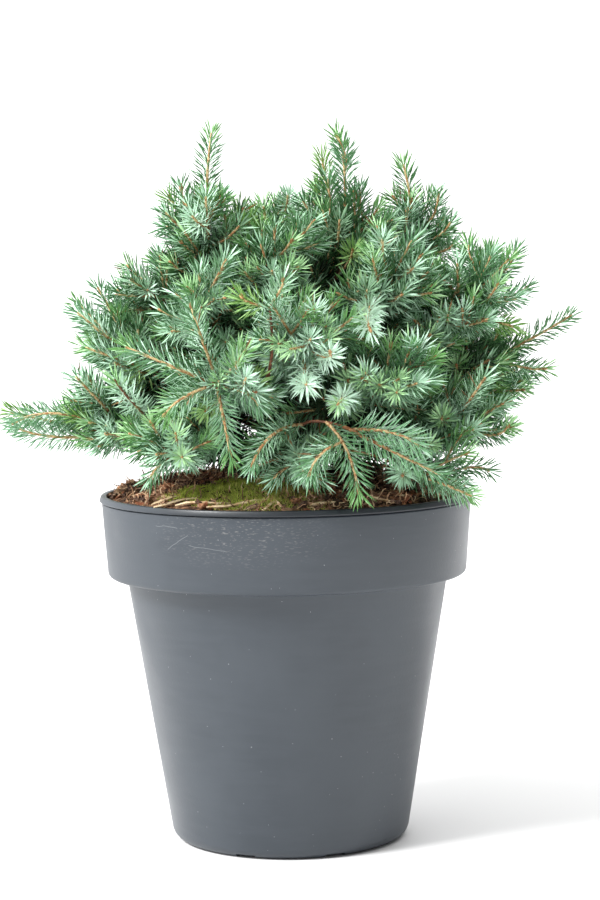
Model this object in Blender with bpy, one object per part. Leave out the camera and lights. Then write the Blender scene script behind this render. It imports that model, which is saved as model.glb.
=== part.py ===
"""A dwarf blue spruce in a slate-grey nursery pot, built in metres with +Z up.

The origin is the middle of the pot's flat underside. The pot is a turned shell, filled with bark
and peat that carries a patch of moss. A short trunk stands in it, with its boughs leaving it at
several heights, and each bough carries one mass of needled shoots that keeps to its own space.
"""

import math
import random
from collections import namedtuple

import bmesh
import bpy
from mathutils import Matrix, Vector, noise

MM = 0.001
GAP = 0.3 * MM
UP = Vector((0, 0, 1))

# Pot
POT_HEIGHT = 197 * MM
FOOT_RADIUS = 66.9 * MM
BODY_TOP_RADIUS = 91.4 * MM
BAND_BOTTOM = 152 * MM
BAND_BOTTOM_RADIUS = 101.9 * MM
BAND_TOP_RADIUS = 105 * MM
RIM_RADIUS = 106.4 * MM
LIP_HEIGHT = 4 * MM
WALL = 2.6 * MM
FLOOR = 3.5 * MM
EASE = 1 * MM
FOOT_ROUND = 6 * MM
LIP_SLOPE = 3 * MM
FOOT_ARC = (0, 30, 60, 90)
POT_STEPS = 40
NOTCHES = 8
NOTCH_WIDTH = 12 * MM
NOTCH_HEIGHT = 2.2 * MM
NOTCH_DEPTH = 8 * MM

# Soil and moss
SOIL_EDGE = 195 * MM
SOIL_CROWN = 208 * MM
SOIL_LUMP = 2.6 * MM
SOIL_LUMP_WIDTH = 26 * MM
SOIL_LUMP_START = Vector((3.1, 1.7, 0))
SOIL_LEVEL_SHARE = 0.16
SOIL_SPOKES = 28
SOIL_RINGS = (SOIL_LEVEL_SHARE, 0.34, 0.52, 0.7, 0.87, 1.0)
MOSS_SPOKES = (17, 22)
MOSS_RINGS = (2, 5)
MOSS_THICKNESS = 5.5 * MM
MOSS_EDGE = 0.9 * MM

# Trunk
TRUNK_TOP = 261 * MM
TRUNK_SIDES = 10
TRUNK_RADIUS = 7.6 * MM
TRUNK_TOP_RADIUS = 4.6 * MM
FLARE = 4.5 * MM
FLARE_HEIGHT = 9 * MM
FLARE_LOBES = 4
TRUNK_LEAN = Vector((-4, -1, 0)) * MM
TRUNK_BEND = 1.5
TRUNK_RINGS = 7
FORK_OFFSET = 2.9 * MM
FORK_SINK = 3 * MM

# Boughs
BOUGH_SIDES = 5
BOUGH_RINGS = 4
BOUGH_TAPER = 0.55
STEM_RADIUS = 1.5 * MM

# Shoots and needles
NEEDLE = 12.5 * MM
NEEDLE_LEAN = 54
TIP_LEAN = 26
STEP = 8.5 * MM
TWIST = 55
CORE_RADIUS = 2.9 * MM
TIP_RADIUS = 1.5 * MM
TWIG_ROOT_RADIUS = 1.2 * MM
OLD_TWIG = 46 * MM
YOUNG_TWIG = 27 * MM
FIRST_TWIG = 0.10
SHORTEST = 13 * MM
TWIG_ANGLE = 50
TWIG_ANGLE_SPREAD = 7
TWIG_BEND = 1.6
GOLDEN_TURN = 137.5
STEEPEST_FALL = -0.2
TURN_SPREAD = 14
TIP_TUFT = 0.75
ROOT_TANGENT = 0.02
CURVE_SAMPLES = 21
SPACE_MARGIN = 0.5 * MM
LIMB_MARGIN = 1.4 * MM
SEED = 7

BARK = ("bark", (0.20, 0.105, 0.06), 0.85)
NEEDLES = ("needles", (0.10, 0.24, 0.17), 0.6)

# One row for each bough and the mass it carries: where it leaves the trunk, its direction there,
# how far its tip reaches from the axis, the height of the tip, the share that is bare bough, the
# bough's radius, the number of side twigs, the share of the stem where the last of them leaves it,
# and how much the shoots lift or hang.
Spray = namedtuple("Spray", "name root azimuth rise reach tip bare thick twigs last lift")
SPRAYS = (
    Spray("leader_left", 261, 212, 42, 47, 405, 0.34, 2.4, 3, 0.40, 0.35),
    Spray("leader_right", 261, 350, 50, 36, 399, 0.34, 2.4, 3, 0.40, 0.35),
    Spray("crown_back", 249, 97, 46, 38, 368, 0.30, 2.3, 5, 0.74, 0.30),
    Spray("crown_front", 252, 266, 46, 58, 350, 0.30, 2.2, 5, 0.74, 0.20),
    Spray("upper_right", 243, 14, 44, 92, 369, 0.33, 2.5, 5, 0.66, 0.25),
    Spray("upper_back_right", 241, 60, 42, 84, 355, 0.33, 2.4, 5, 0.74, 0.25),
    Spray("upper_back_left", 244, 132, 42, 92, 338, 0.33, 2.5, 5, 0.74, 0.25),
    Spray("upper_left", 251, 175, 38, 93, 330, 0.33, 2.5, 5, 0.60, 0.05),
    Spray("upper_front_left", 245, 234, 40, 92, 319, 0.33, 2.4, 5, 0.74, 0.10),
    Spray("upper_front", 241, 277, 26, 124, 290, 0.33, 2.5, 5, 0.74, 0.05),
    Spray("upper_front_right", 249, 322, 38, 100, 334, 0.33, 2.5, 5, 0.74, 0.20),
    Spray("mid_right", 234, 343, 24, 135, 331, 0.42, 2.9, 5, 0.60, 0.25),
    Spray("mid_right_long", 225, 1, 16, 168, 297, 0.42, 2.9, 4, 0.30, 0.10),
    Spray("mid_back_right", 233, 38, 26, 130, 305, 0.36, 2.8, 5, 0.74, 0.15),
    Spray("mid_back", 228, 88, 24, 128, 299, 0.36, 2.8, 5, 0.74, 0.15),
    Spray("mid_back_left", 235, 150, 24, 128, 297, 0.36, 2.8, 5, 0.74, 0.15),
    Spray("mid_left", 228, 199, 24, 118, 292, 0.36, 2.8, 5, 0.70, 0.10),
    Spray("mid_front_left", 233, 251, 16, 118, 267, 0.36, 2.8, 5, 0.74, 0.00),
    Spray("mid_front_right", 230, 303, 18, 134, 265, 0.36, 2.8, 5, 0.70, 0.05),
    Spray("low_right", 217, 18, 6, 155, 262, 0.38, 3.0, 5, 0.60, 0.05),
    Spray("low_front_right", 221, 335, 4, 142, 237, 0.38, 3.0, 5, 0.48, 0.05),
    Spray("low_front_droop", 214, 317, 8, 141, 202, 0.38, 2.9, 5, 0.60, -0.20),
    Spray("low_front", 221, 275, 8, 114, 219, 0.38, 2.8, 5, 0.74, -0.10),
    Spray("low_front_left", 217, 232, 8, 116, 227, 0.38, 2.8, 5, 0.74, 0.00),
    Spray("low_left_long", 221, 190, 4, 161, 247, 0.42, 3.0, 4, 0.28, 0.00),
    Spray("low_back_left", 217, 138, 6, 136, 233, 0.38, 2.9, 5, 0.74, 0.00),
    Spray("low_back_right", 219, 72, 6, 138, 229, 0.38, 2.9, 5, 0.74, 0.00),
)

Limb = namedtuple("Limb", "start end radius")


def material(name, colour, roughness):
    made = bpy.data.materials.get(name) or bpy.data.materials.new(name)
    made.use_nodes = True
    made.diffuse_color = (*colour, 1)
    shader = made.node_tree.nodes["Principled BSDF"]
    shader.inputs["Base Color"].default_value = (*colour, 1)
    shader.inputs["Roughness"].default_value = roughness
    shader.inputs["Metallic"].default_value = 0
    return made


def to_object(name, bm, look):
    mesh = bpy.data.meshes.new(name)
    bm.to_mesh(mesh)
    bm.free()
    mesh.materials.append(material(*look))
    made = bpy.data.objects.new(name, mesh)
    bpy.context.scene.collection.objects.link(made)
    return made


def direction(azimuth, rise):
    a, r = math.radians(azimuth), math.radians(rise)
    return Vector((math.cos(a) * math.cos(r), math.sin(a) * math.cos(r), math.sin(r)))


def frame_about(axis, around=None):
    """Two unit vectors square to the axis, the first as near to the given one as it can be."""
    start = around if around else (UP if abs(axis.z) < 0.9 else Vector((1, 0, 0)))
    first = (start - axis * start.dot(axis)).normalized()
    return first, axis.cross(first)


def turned(name, profile, steps, look):
    """A closed solid of revolution. The profile runs from the axis, outside first, back to it."""
    bm = bmesh.new()
    corners = [bm.verts.new((radius, 0, height)) for radius, height in profile]
    edges = [bm.edges.new(pair) for pair in zip(corners, corners[1:])]
    bmesh.ops.spin(bm, geom=corners + edges, axis=UP, cent=(0, 0, 0), angle=math.tau, steps=steps,
                   use_merge=True, use_duplicate=False)
    bmesh.ops.remove_doubles(bm, verts=bm.verts, dist=0.02 * MM)
    bmesh.ops.recalc_face_normals(bm, faces=bm.faces)
    made = to_object(name, bm, look)
    made.data.shade_smooth()
    made.data.set_sharp_from_angle(angle=math.radians(35))
    return made


def make_pot():
    """The turned shell: a rounded foot, a tapering body, the wide collar and a lip that slopes inwards."""
    inner_band_floor = BAND_BOTTOM + WALL - EASE
    lip_foot = POT_HEIGHT - LIP_HEIGHT
    foot_arc = [FOOT_ROUND * (1 - math.cos(math.radians(angle))) for angle in FOOT_ARC]
    profile = (
        (0, 0),
        *((FOOT_RADIUS - foot_arc[-1 - i], foot_arc[i]) for i in range(len(foot_arc))),
        (BODY_TOP_RADIUS, BAND_BOTTOM - EASE),
        (BAND_BOTTOM_RADIUS - EASE, BAND_BOTTOM - EASE),
        (BAND_BOTTOM_RADIUS, BAND_BOTTOM + EASE),
        (BAND_TOP_RADIUS, lip_foot - EASE),
        (RIM_RADIUS, lip_foot),
        (RIM_RADIUS - LIP_SLOPE, POT_HEIGHT),
        (BAND_TOP_RADIUS - WALL, POT_HEIGHT),
        (BAND_TOP_RADIUS - WALL, lip_foot),
        (BAND_BOTTOM_RADIUS - WALL, inner_band_floor),
        (BODY_TOP_RADIUS - WALL, inner_band_floor),
        (FOOT_RADIUS - WALL, FLOOR),
        (0, FLOOR),
    )
    pot = turned("pot", profile, POT_STEPS, ("slate_plastic", (0.10, 0.115, 0.13), 0.5))
    cutter = bmesh.new()
    for i in range(NOTCHES):
        turn = Matrix.Rotation(math.tau * (i + 0.5) / NOTCHES, 4, "Z")
        size = Matrix.Diagonal((2 * NOTCH_DEPTH, NOTCH_WIDTH, 2 * NOTCH_HEIGHT, 1))
        bmesh.ops.create_cube(cutter, matrix=turn @ Matrix.Translation((FOOT_RADIUS, 0, 0)) @ size)
    notches = to_object("foot_notches", cutter, ("cutter", (1, 0, 0), 0.5))
    notches.hide_render = True
    notches.display_type = "WIRE"
    cut = pot.modifiers.new("notches", "BOOLEAN")
    cut.operation = "DIFFERENCE"
    cut.object = notches
    return pot


def soil_height(x, y):
    """The heaped surface: lumpy, lowest along the rim, and level where the trunk stands."""
    share = min(1, math.hypot(x, y) / (BAND_TOP_RADIUS - WALL))
    heap = SOIL_EDGE + (SOIL_CROWN - SOIL_EDGE) * (1 - share**2.5)
    lumps = noise.noise(Vector((x, y, 0)) / SOIL_LUMP_WIDTH + SOIL_LUMP_START)
    return heap + SOIL_LUMP * lumps * min(1, max(0, share - SOIL_LEVEL_SHARE) * 6)


def soil_point(ring, spoke, lift=0):
    radius = SOIL_RINGS[ring] * soil_wall(SOIL_EDGE)
    angle = math.tau * spoke / SOIL_SPOKES
    x, y = radius * math.cos(angle), radius * math.sin(angle)
    return Vector((x, y, soil_height(x, y) + lift))


def soil_wall(height):
    """The radius of the fill against the inside of the pot at one height."""
    band_floor = BAND_BOTTOM + WALL - EASE
    if height >= band_floor:
        share = (height - band_floor) / (POT_HEIGHT - LIP_HEIGHT - band_floor)
        return BAND_BOTTOM_RADIUS + (BAND_TOP_RADIUS - BAND_BOTTOM_RADIUS) * share - WALL - 2 * GAP
    share = (height - FLOOR) / (band_floor - FLOOR)
    return FOOT_RADIUS + (BODY_TOP_RADIUS - FOOT_RADIUS) * share - WALL - 2 * GAP


def bridge(bm, lower, upper):
    """Two triangles for each step between two rings of corners."""
    for i in range(len(lower)):
        a, b, c, d = lower[i - 1], lower[i], upper[i], upper[i - 1]
        bm.faces.new((a, b, c))
        bm.faces.new((a, c, d))


def cap(bm, ring, middle):
    for i in range(len(ring)):
        bm.faces.new((ring[i - 1], ring[i], middle))


def make_soil():
    band_floor = BAND_BOTTOM + WALL - EASE + GAP
    below = band_floor - 2 * GAP
    walls = ((soil_wall(FLOOR + GAP), FLOOR + GAP), (soil_wall(below), band_floor),
             (soil_wall(band_floor), band_floor))
    bm = bmesh.new()
    rings = []
    for radius, height in walls:
        ring = [Vector((radius * math.cos(a), radius * math.sin(a), height))
                for a in (math.tau * i / SOIL_SPOKES for i in range(SOIL_SPOKES))]
        rings.append([bm.verts.new(point) for point in ring])
    for i in reversed(range(len(SOIL_RINGS))):
        rings.append([bm.verts.new(soil_point(i, spoke)) for spoke in range(SOIL_SPOKES)])
    for lower, upper in zip(rings, rings[1:]):
        bridge(bm, lower, upper)
    cap(bm, rings[0][::-1], bm.verts.new((0, 0, FLOOR + GAP)))
    cap(bm, rings[-1], bm.verts.new((0, 0, SOIL_CROWN)))
    bmesh.ops.recalc_face_normals(bm, faces=bm.faces)
    return to_object("soil", bm, ("bark_and_peat", (0.11, 0.06, 0.035), 0.95))


def make_moss():
    """A low cushion on the front of the soil, its underside following the same grid of corners."""
    first, last = MOSS_SPOKES
    inner, outer = MOSS_RINGS
    bm = bmesh.new()
    layers = []
    for top in (False, True):
        rows = []
        for ring in range(outer, inner - 1, -1):
            row = []
            for spoke in range(first, last + 1):
                across = math.sin(math.pi * (spoke - first) / (last - first))
                along = math.sin(math.pi * (ring - inner + 0.4) / (outer - inner + 0.8))
                thickness = MOSS_EDGE + MOSS_THICKNESS * max(0, across * along) if top else 0
                row.append(bm.verts.new(soil_point(ring, spoke, GAP + thickness)))
            rows.append(row)
        layers.append(rows)
    for rows in layers:
        for lower, upper in zip(rows, rows[1:]):
            for i in range(1, len(lower)):
                a, b, c, d = lower[i - 1], lower[i], upper[i], upper[i - 1]
                bm.faces.new((a, b, c))
                bm.faces.new((a, c, d))
    outlines = [rows[0] + [row[-1] for row in rows[1:-1]] + rows[-1][::-1] +
                [row[0] for row in rows[-2:0:-1]] for rows in layers]
    bridge(bm, outlines[0], outlines[1])
    bmesh.ops.recalc_face_normals(bm, faces=bm.faces)
    return to_object("moss", bm, ("moss", (0.12, 0.18, 0.03), 0.95))


def tube(bm, points, radii, sides, flare=None):
    """A closed limb through the points, with flat ends square to it."""
    rings = []
    around = None
    for i, point in enumerate(points):
        axis = (points[min(i + 1, len(points) - 1)] - points[max(i - 1, 0)]).normalized()
        first, second = frame_about(axis, around)
        around = first
        ring = []
        for k in range(sides):
            angle = math.tau * k / sides
            radius = radii[i] + (flare(point, angle) if flare else 0)
            ring.append(bm.verts.new(point + radius * (first * math.cos(angle) + second * math.sin(angle))))
        rings.append(ring)
    for lower, upper in zip(rings, rings[1:]):
        bridge(bm, lower, upper)
    cap(bm, rings[0][::-1], bm.verts.new(points[0]))
    cap(bm, rings[-1], bm.verts.new(points[-1]))
    bmesh.ops.recalc_face_normals(bm, faces=bm.faces)


def trunk_share(height):
    return max(0, (height - SOIL_CROWN) / (TRUNK_TOP - SOIL_CROWN))


def trunk_point(height):
    return Vector((0, 0, height)) + TRUNK_LEAN * trunk_share(height) ** TRUNK_BEND


def trunk_radius(height):
    return TRUNK_RADIUS + (TRUNK_TOP_RADIUS - TRUNK_RADIUS) * trunk_share(height)


def root_flare(point, angle):
    height = point.z - SOIL_CROWN
    lobe = 0.6 + 0.4 * math.cos(FLARE_LOBES * angle + 0.6)
    return FLARE * lobe * math.exp(-height / FLARE_HEIGHT)


def make_trunk(name, grow=0.0):
    """The trunk from its flat cut on the soil to its fork, or a copy that is larger all round."""
    foot = SOIL_CROWN + GAP - grow
    shares = [(i / (TRUNK_RINGS - 1)) ** TRUNK_BEND for i in range(TRUNK_RINGS)]
    heights = [foot + (TRUNK_TOP + grow - foot) * share for share in shares]
    points = [trunk_point(height) for height in heights]
    radii = [trunk_radius(height) + grow for height in heights]
    bm = bmesh.new()
    tube(bm, points, radii, TRUNK_SIDES, root_flare)
    return to_object(name, bm, BARK)


def spray_axis(spray):
    """The curve of one bough and its mass, from the trunk's middle to the last bud."""
    start = trunk_point(spray.root * MM)
    if spray.root * MM >= TRUNK_TOP:
        start += direction(spray.azimuth, 0) * FORK_OFFSET - UP * FORK_SINK
    tip = direction(spray.azimuth, 0) * spray.reach * MM + UP * spray.tip * MM
    tip -= (tip - start).normalized() * NEEDLE * 0.5
    bend = start + direction(spray.azimuth, spray.rise) * (tip - start).length * 0.5
    return start, bend, tip


def along(curve, share):
    start, bend, tip = curve
    return start * (1 - share) ** 2 + bend * 2 * share * (1 - share) + tip * share**2


def stretch(curve, first, last, count):
    return [along(curve, first + (last - first) * i / (count - 1)) for i in range(count)]


def bough_shape(spray):
    points = stretch(spray_axis(spray), 0, spray.bare, BOUGH_RINGS)
    shares = [i / (BOUGH_RINGS - 1) for i in range(BOUGH_RINGS)]
    return points, [spray.thick * MM * (1 + (BOUGH_TAPER - 1) * share) for share in shares]


def bough_limbs(spray):
    """The bough as short straight limbs, for keeping other pieces clear of it."""
    points, radii = bough_shape(spray)
    return [Limb(start, end, radius) for start, end, radius in zip(points, points[1:], radii)]


def make_bough(spray, trunk_cutter):
    points, radii = bough_shape(spray)
    bm = bmesh.new()
    tube(bm, points, radii, BOUGH_SIDES)
    bough = to_object("bough_" + spray.name, bm, BARK)
    cut = bough.modifiers.new("trunk", "BOOLEAN")
    cut.operation = "DIFFERENCE"
    cut.object = trunk_cutter
    return bough


def nearest_pair(a, b, c, d):
    """The nearest points of two straight stretches, a to b and c to d."""
    best = None
    ab, cd = b - a, d - c
    for i in range(CURVE_SAMPLES):
        p = a.lerp(b, i / (CURVE_SAMPLES - 1))
        q = c + cd * min(1, max(0, (p - c).dot(cd) / cd.length_squared))
        p = a + ab * min(1, max(0, (q - a).dot(ab) / ab.length_squared))
        if best is None or (p - q).length < (best[0] - best[1]).length:
            best = (p, q)
    return best


def mass_root(spray):
    """Where a mass's stem meets its bough's end, and the way it points there."""
    curve = spray_axis(spray)
    end = along(curve, spray.bare)
    forward = (along(curve, spray.bare + ROOT_TANGENT) - end).normalized()
    return end, forward


def own_space(spray):
    """The planes that bound one mass: halfway to each other mass, and square across its bough's end."""
    root, forward = mass_root(spray)
    tip = along(spray_axis(spray), 1)
    planes = [(root + forward * GAP, forward, 0.0)]
    for other in SPRAYS:
        if other is spray:
            continue
        rival = spray_axis(other)
        mine, theirs = nearest_pair(root, tip, along(rival, other.bare), along(rival, 1))
        planes.append(((mine + theirs) / 2, (mine - theirs).normalized(), SPACE_MARGIN / 2))
    return planes


def inside(point, planes):
    return all((point - place).dot(normal) >= margin for place, normal, margin in planes)


def clear_of_limbs(start, end, limbs, reach=0):
    for limb in limbs:
        a, b = nearest_pair(start, end, limb.start, limb.end)
        if (a - b).length < limb.radius + LIMB_MARGIN + reach:
            return False
    return True


def clear_of_pot(point, reach=0):
    """True outside the pot's rim, above it, or inside it and above soil and moss."""
    room = LIMB_MARGIN + reach
    radius = math.hypot(point.x, point.y)
    if radius > RIM_RADIUS + room:
        return True
    ground = max(soil_height(point.x, point.y) + MOSS_THICKNESS, POT_HEIGHT - EASE)
    if radius < BAND_TOP_RADIUS - WALL - room:
        ground = soil_height(point.x, point.y) + MOSS_THICKNESS
    return point.z > ground + room


def free(start, end, planes, limbs):
    """Whether a needle from start to end stays in its mass's space and touches nothing."""
    return inside(end, planes) and clear_of_pot(end) and clear_of_limbs(start, end, limbs)


def make_shoot(name, points, root_radius, bare_steps, planes, limbs):
    """A three-sided twig whose every side stands out as one needle, leaning towards the tip."""
    bm = bmesh.new()
    rings = []
    centres = []
    around = None
    steps = len(points) - 1
    for i, point in enumerate(points):
        axis = (points[min(i + 1, steps)] - points[max(i - 1, 0)]).normalized()
        first, second = frame_about(axis, around)
        around = first
        radius = CORE_RADIUS + (TIP_RADIUS - CORE_RADIUS) * i / steps if i else root_radius
        turn = math.radians(TWIST * i)
        ring = []
        for k in range(3):
            angle = turn + math.tau * k / 3
            ring.append(bm.verts.new(point + radius * (first * math.cos(angle) + second * math.sin(angle))))
        rings.append(ring)
        centres.append((point, axis))
    for i, (lower, upper) in enumerate(zip(rings, rings[1:])):
        lean = NEEDLE_LEAN + (TIP_LEAN - NEEDLE_LEAN) * max(0, (i + 3 - steps) / 2)
        axis = (centres[i][1] + centres[i + 1][1]).normalized()
        middle = (centres[i][0] + centres[i + 1][0]) / 2
        for k in range(3):
            a, b, c, d = lower[k], lower[(k + 1) % 3], upper[(k + 1) % 3], upper[k]
            seat = (a.co + b.co + c.co + d.co) / 4
            out = (seat - middle).normalized()
            grow = axis * math.cos(math.radians(lean)) + out * math.sin(math.radians(lean))
            point = seat + grow * NEEDLE
            if i >= bare_steps and free(seat, point, planes, limbs):
                top = bm.verts.new(point)
                for pair in ((a, b), (b, c), (c, d), (d, a)):
                    bm.faces.new((*pair, top))
            else:
                bm.faces.new((a, b, c))
                bm.faces.new((a, c, d))
    bm.faces.new(rings[0][::-1])
    point = centres[-1][0] + centres[-1][1] * NEEDLE * TIP_TUFT
    if free(centres[-1][0], point, planes, limbs):
        cap(bm, rings[-1], bm.verts.new(point))
    else:
        bm.faces.new(rings[-1])
    return to_object(name, bm, NEEDLES)


def kept_points(points, planes, limbs):
    """How many of its points a twig can follow before it would leave its space or touch a limb."""
    for i in range(2, len(points)):
        point = points[i]
        if not all((point - place).dot(normal) >= margin + CORE_RADIUS for place, normal, margin in planes):
            return i
        if not clear_of_pot(point, CORE_RADIUS):
            return i
        if not clear_of_limbs(points[i - 1], point, limbs, CORE_RADIUS):
            return i
    return len(points)


def twig_path(start, heading, length, lift):
    """A twig that bends a little towards the light, or hangs."""
    count = max(2, round(length / STEP))
    points = [start]
    for _ in range(count):
        heading = (heading + UP * lift * TWIG_BEND / count).normalized()
        points.append(points[-1] + heading * length / count)
    return points


def towards_light(spray, heading):
    """A twig that would grow straight down turns up and out instead, but for those of a hanging mass."""
    if heading.z < STEEPEST_FALL and spray.lift >= 0:
        heading.z /= -2
    return heading.normalized()


def side_twigs(spray, axis_points, planes, limbs):
    """Twigs spiralling up the stem at seeded turns, shorter towards the tip."""
    rule = random.Random(f"{spray.name}-{SEED}")
    turn = rule.uniform(0, 360)
    paths = []
    for k in range(spray.twigs):
        share = FIRST_TWIG + (spray.last - FIRST_TWIG) * k / (spray.twigs - 1)
        at = max(1, round(share * (len(axis_points) - 1)))
        heading = (axis_points[at] - axis_points[at - 1]).normalized()
        first, second = frame_about(heading)
        angle = math.radians(turn + GOLDEN_TURN * k + rule.uniform(-TURN_SPREAD, TURN_SPREAD))
        spread = math.radians(TWIG_ANGLE + rule.uniform(-TWIG_ANGLE_SPREAD, TWIG_ANGLE_SPREAD))
        out = first * math.cos(angle) + second * math.sin(angle)
        reach = (OLD_TWIG + (YOUNG_TWIG - OLD_TWIG) * share) * rule.uniform(0.9, 1.1)
        heading = towards_light(spray, heading * math.cos(spread) + out * math.sin(spread))
        path = twig_path(axis_points[at], heading, reach, spray.lift)
        kept = kept_points(path, planes, limbs)
        if (kept - 1) * STEP >= SHORTEST:
            paths.append(path[:kept])
    return paths


def make_mass(spray, limbs):
    """One mass: its stem, grown on from the bough, and side twigs joined to it as one body."""
    planes = own_space(spray)
    curve = spray_axis(spray)
    root, forward = mass_root(spray)
    trial = stretch(curve, spray.bare, 1, CURVE_SAMPLES)
    length = sum((b - a).length for a, b in zip(trial, trial[1:]))
    points = stretch(curve, spray.bare, 1, max(3, round(length / STEP) + 1))
    points[0] = root + forward * GAP
    others = [limb for limb in limbs if limb.end != root]
    stem = make_shoot(spray.name, points, STEM_RADIUS, 1, planes, others)
    helpers = bpy.data.collections.new(spray.name + "_twigs")
    bpy.context.scene.collection.children.link(helpers)
    for i, path in enumerate(side_twigs(spray, points, planes, others)):
        twig = make_shoot(f"{spray.name}_twig_{i}", path, TWIG_ROOT_RADIUS, 1, planes, others)
        bpy.context.scene.collection.objects.unlink(twig)
        helpers.objects.link(twig)
    if helpers.objects:
        join = stem.modifiers.new("twigs", "BOOLEAN")
        join.operation = "UNION"
        join.operand_type = "COLLECTION"
        join.collection = helpers
        apply_modifiers(stem)
    for twig in list(helpers.objects):
        bpy.data.objects.remove(twig)
    bpy.data.collections.remove(helpers)
    return stem


def apply_modifiers(piece):
    graph = bpy.context.evaluated_depsgraph_get()
    joined = bpy.data.meshes.new_from_object(piece.evaluated_get(graph))
    piece.modifiers.clear()
    piece.data = joined


def main():
    for old in list(bpy.data.objects):
        bpy.data.objects.remove(old)
    make_pot()
    make_soil()
    make_moss()
    make_trunk("trunk")
    trunk_cutter = make_trunk("trunk_cutter", GAP)
    trunk_cutter.hide_render = True
    trunk_cutter.display_type = "WIRE"
    limbs = [Limb(trunk_point(SOIL_CROWN), trunk_point(TRUNK_TOP), TRUNK_RADIUS)]
    for spray in SPRAYS:
        limbs += bough_limbs(spray)
    for spray in SPRAYS:
        make_bough(spray, trunk_cutter)
        make_mass(spray, limbs)


main()
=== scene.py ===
# %% [markdown]
# # A dwarf blue spruce in a slate-grey pot
#
# The real thing is a slow, flat-topped spruce about as wide as two hands, growing in a moulded
# nursery pot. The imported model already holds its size: the pot, the fill, the moss, a short trunk,
# and one bough for each mass of shoots. This lesson dresses those solids. It keeps the same table
# of boughs and the same rule for twigs, and carries the rule on to shoots, needles and buds.

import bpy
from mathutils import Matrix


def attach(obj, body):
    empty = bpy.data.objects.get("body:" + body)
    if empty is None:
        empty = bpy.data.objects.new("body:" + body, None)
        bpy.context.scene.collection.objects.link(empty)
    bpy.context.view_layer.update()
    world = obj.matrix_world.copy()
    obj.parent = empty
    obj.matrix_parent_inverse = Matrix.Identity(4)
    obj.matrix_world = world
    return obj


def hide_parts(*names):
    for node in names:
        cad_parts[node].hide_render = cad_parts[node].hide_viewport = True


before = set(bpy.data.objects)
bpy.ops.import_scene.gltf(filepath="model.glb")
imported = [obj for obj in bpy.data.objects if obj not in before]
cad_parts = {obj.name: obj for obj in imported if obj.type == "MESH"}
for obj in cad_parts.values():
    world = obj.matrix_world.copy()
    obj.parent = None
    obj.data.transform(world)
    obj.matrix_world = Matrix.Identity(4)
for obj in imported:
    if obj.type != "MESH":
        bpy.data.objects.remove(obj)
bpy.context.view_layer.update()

# %% Tools and units
import math
import random
from collections import namedtuple

import bmesh
import bpy
import numpy as np
from mathutils import Matrix, Vector, noise

MM = 0.001
SEED = 7
UP = Vector((0, 0, 1))
GOLDEN_TURN = 137.5
chance = np.random.default_rng(SEED)
noise.seed_set(SEED)

# %% [markdown]
# ## Studio
#
# The photograph is a catalogue picture: a white sweep behind the plant, a darker room in front of
# it, and soft light from the upper left. The world is drawn the same way, as a white that falls off
# from the back and left towards the front and right. It also gives the pot's two sides their pale
# edges, because smooth plastic mirrors more at a glancing angle. A broad sun from the left adds the
# direction, and a weak one from behind lights the edges. The colours are shown as they are, without
# a film curve, so white stays white.

# %% White surroundings
BRIGHTEST_WAY = Vector((-0.62, 0.50, 0.60))
DARK_UP_TO = -0.30
WHITE_FROM = 0.6
ROOM_LIGHT = 0.33
SWEEP_LIGHT = 1.6
scene = bpy.context.scene
scene.view_settings.view_transform = "Standard"
world = bpy.data.worlds.new("white_studio")
scene.world = world
world.use_nodes = True
nodes, links = world.node_tree.nodes, world.node_tree.links
way = nodes.new("ShaderNodeTexCoord").outputs["Generated"]
facing = nodes.new("ShaderNodeVectorMath")
facing.operation = "DOT_PRODUCT"
links.new(way, facing.inputs[0])
facing.inputs[1].default_value = BRIGHTEST_WAY
falloff = nodes.new("ShaderNodeMapRange")
falloff.interpolation_type = "SMOOTHSTEP"
links.new(facing.outputs["Value"], falloff.inputs["Value"])
for title, value in (("From Min", DARK_UP_TO), ("From Max", WHITE_FROM),
                     ("To Min", ROOM_LIGHT), ("To Max", SWEEP_LIGHT)):
    falloff.inputs[title].default_value = value
nodes["Background"].inputs["Color"].default_value = (1, 1, 1, 1)
links.new(falloff.outputs["Result"], nodes["Background"].inputs["Strength"])


def broad_sun(name, comes_from, strength, spread):
    lamp = bpy.data.lights.new(name, "SUN")
    lamp.energy = strength
    lamp.angle = math.radians(spread)
    made = bpy.data.objects.new(name, lamp)
    made.rotation_euler = Vector(comes_from).to_track_quat("Z", "Y").to_euler()
    scene.collection.objects.link(made)


broad_sun("key_from_the_left", comes_from=(-0.85, -0.50, 0.95), strength=4.6, spread=20)
broad_sun("light_from_behind", comes_from=(0.25, 0.8, 0.9), strength=0.8, spread=40)
print("lights:", [lamp.name for lamp in bpy.data.lights])

# %% [markdown]
# The camera stands 1.35 m away at crown height and looks slightly down. Its distance was solved
# from the ellipses of the pot's rim and foot. It is rolled by less than a degree, as the
# photographer's was.

# %% Camera
CAMERA_PLACE = (0.0081, -1.349, 0.3286)
LOOK_DOWN = 4.57
ROLL = -0.77
eye = bpy.data.cameras.new("catalogue_camera")
eye.lens = 95.1
eye.sensor_width = 36
eye.clip_end = 200
camera = bpy.data.objects.new("catalogue_camera", eye)
aim = Matrix.Rotation(math.radians(90 - LOOK_DOWN), 4, "X") @ Matrix.Rotation(math.radians(ROLL), 4, "Z")
camera.matrix_world = Matrix.Translation(CAMERA_PLACE) @ aim
scene.collection.objects.link(camera)
scene.camera = camera
print("lens", eye.lens, "mm")

# %% [markdown]
# ## Shader groups
#
# Several finishes share an effect, such as soft blotches or scattered specks. Each effect is a node
# group, built once and placed in a material with that material's own numbers. A group only works
# out masks and heights. The Principled shader stays in the material.

# %% Helpers for materials
def put(tree, socket, value):
    """Wires a socket to an output, or gives it a plain value."""
    if isinstance(value, bpy.types.NodeSocket):
        tree.links.new(value, socket)
    else:
        socket.default_value = value


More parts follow.
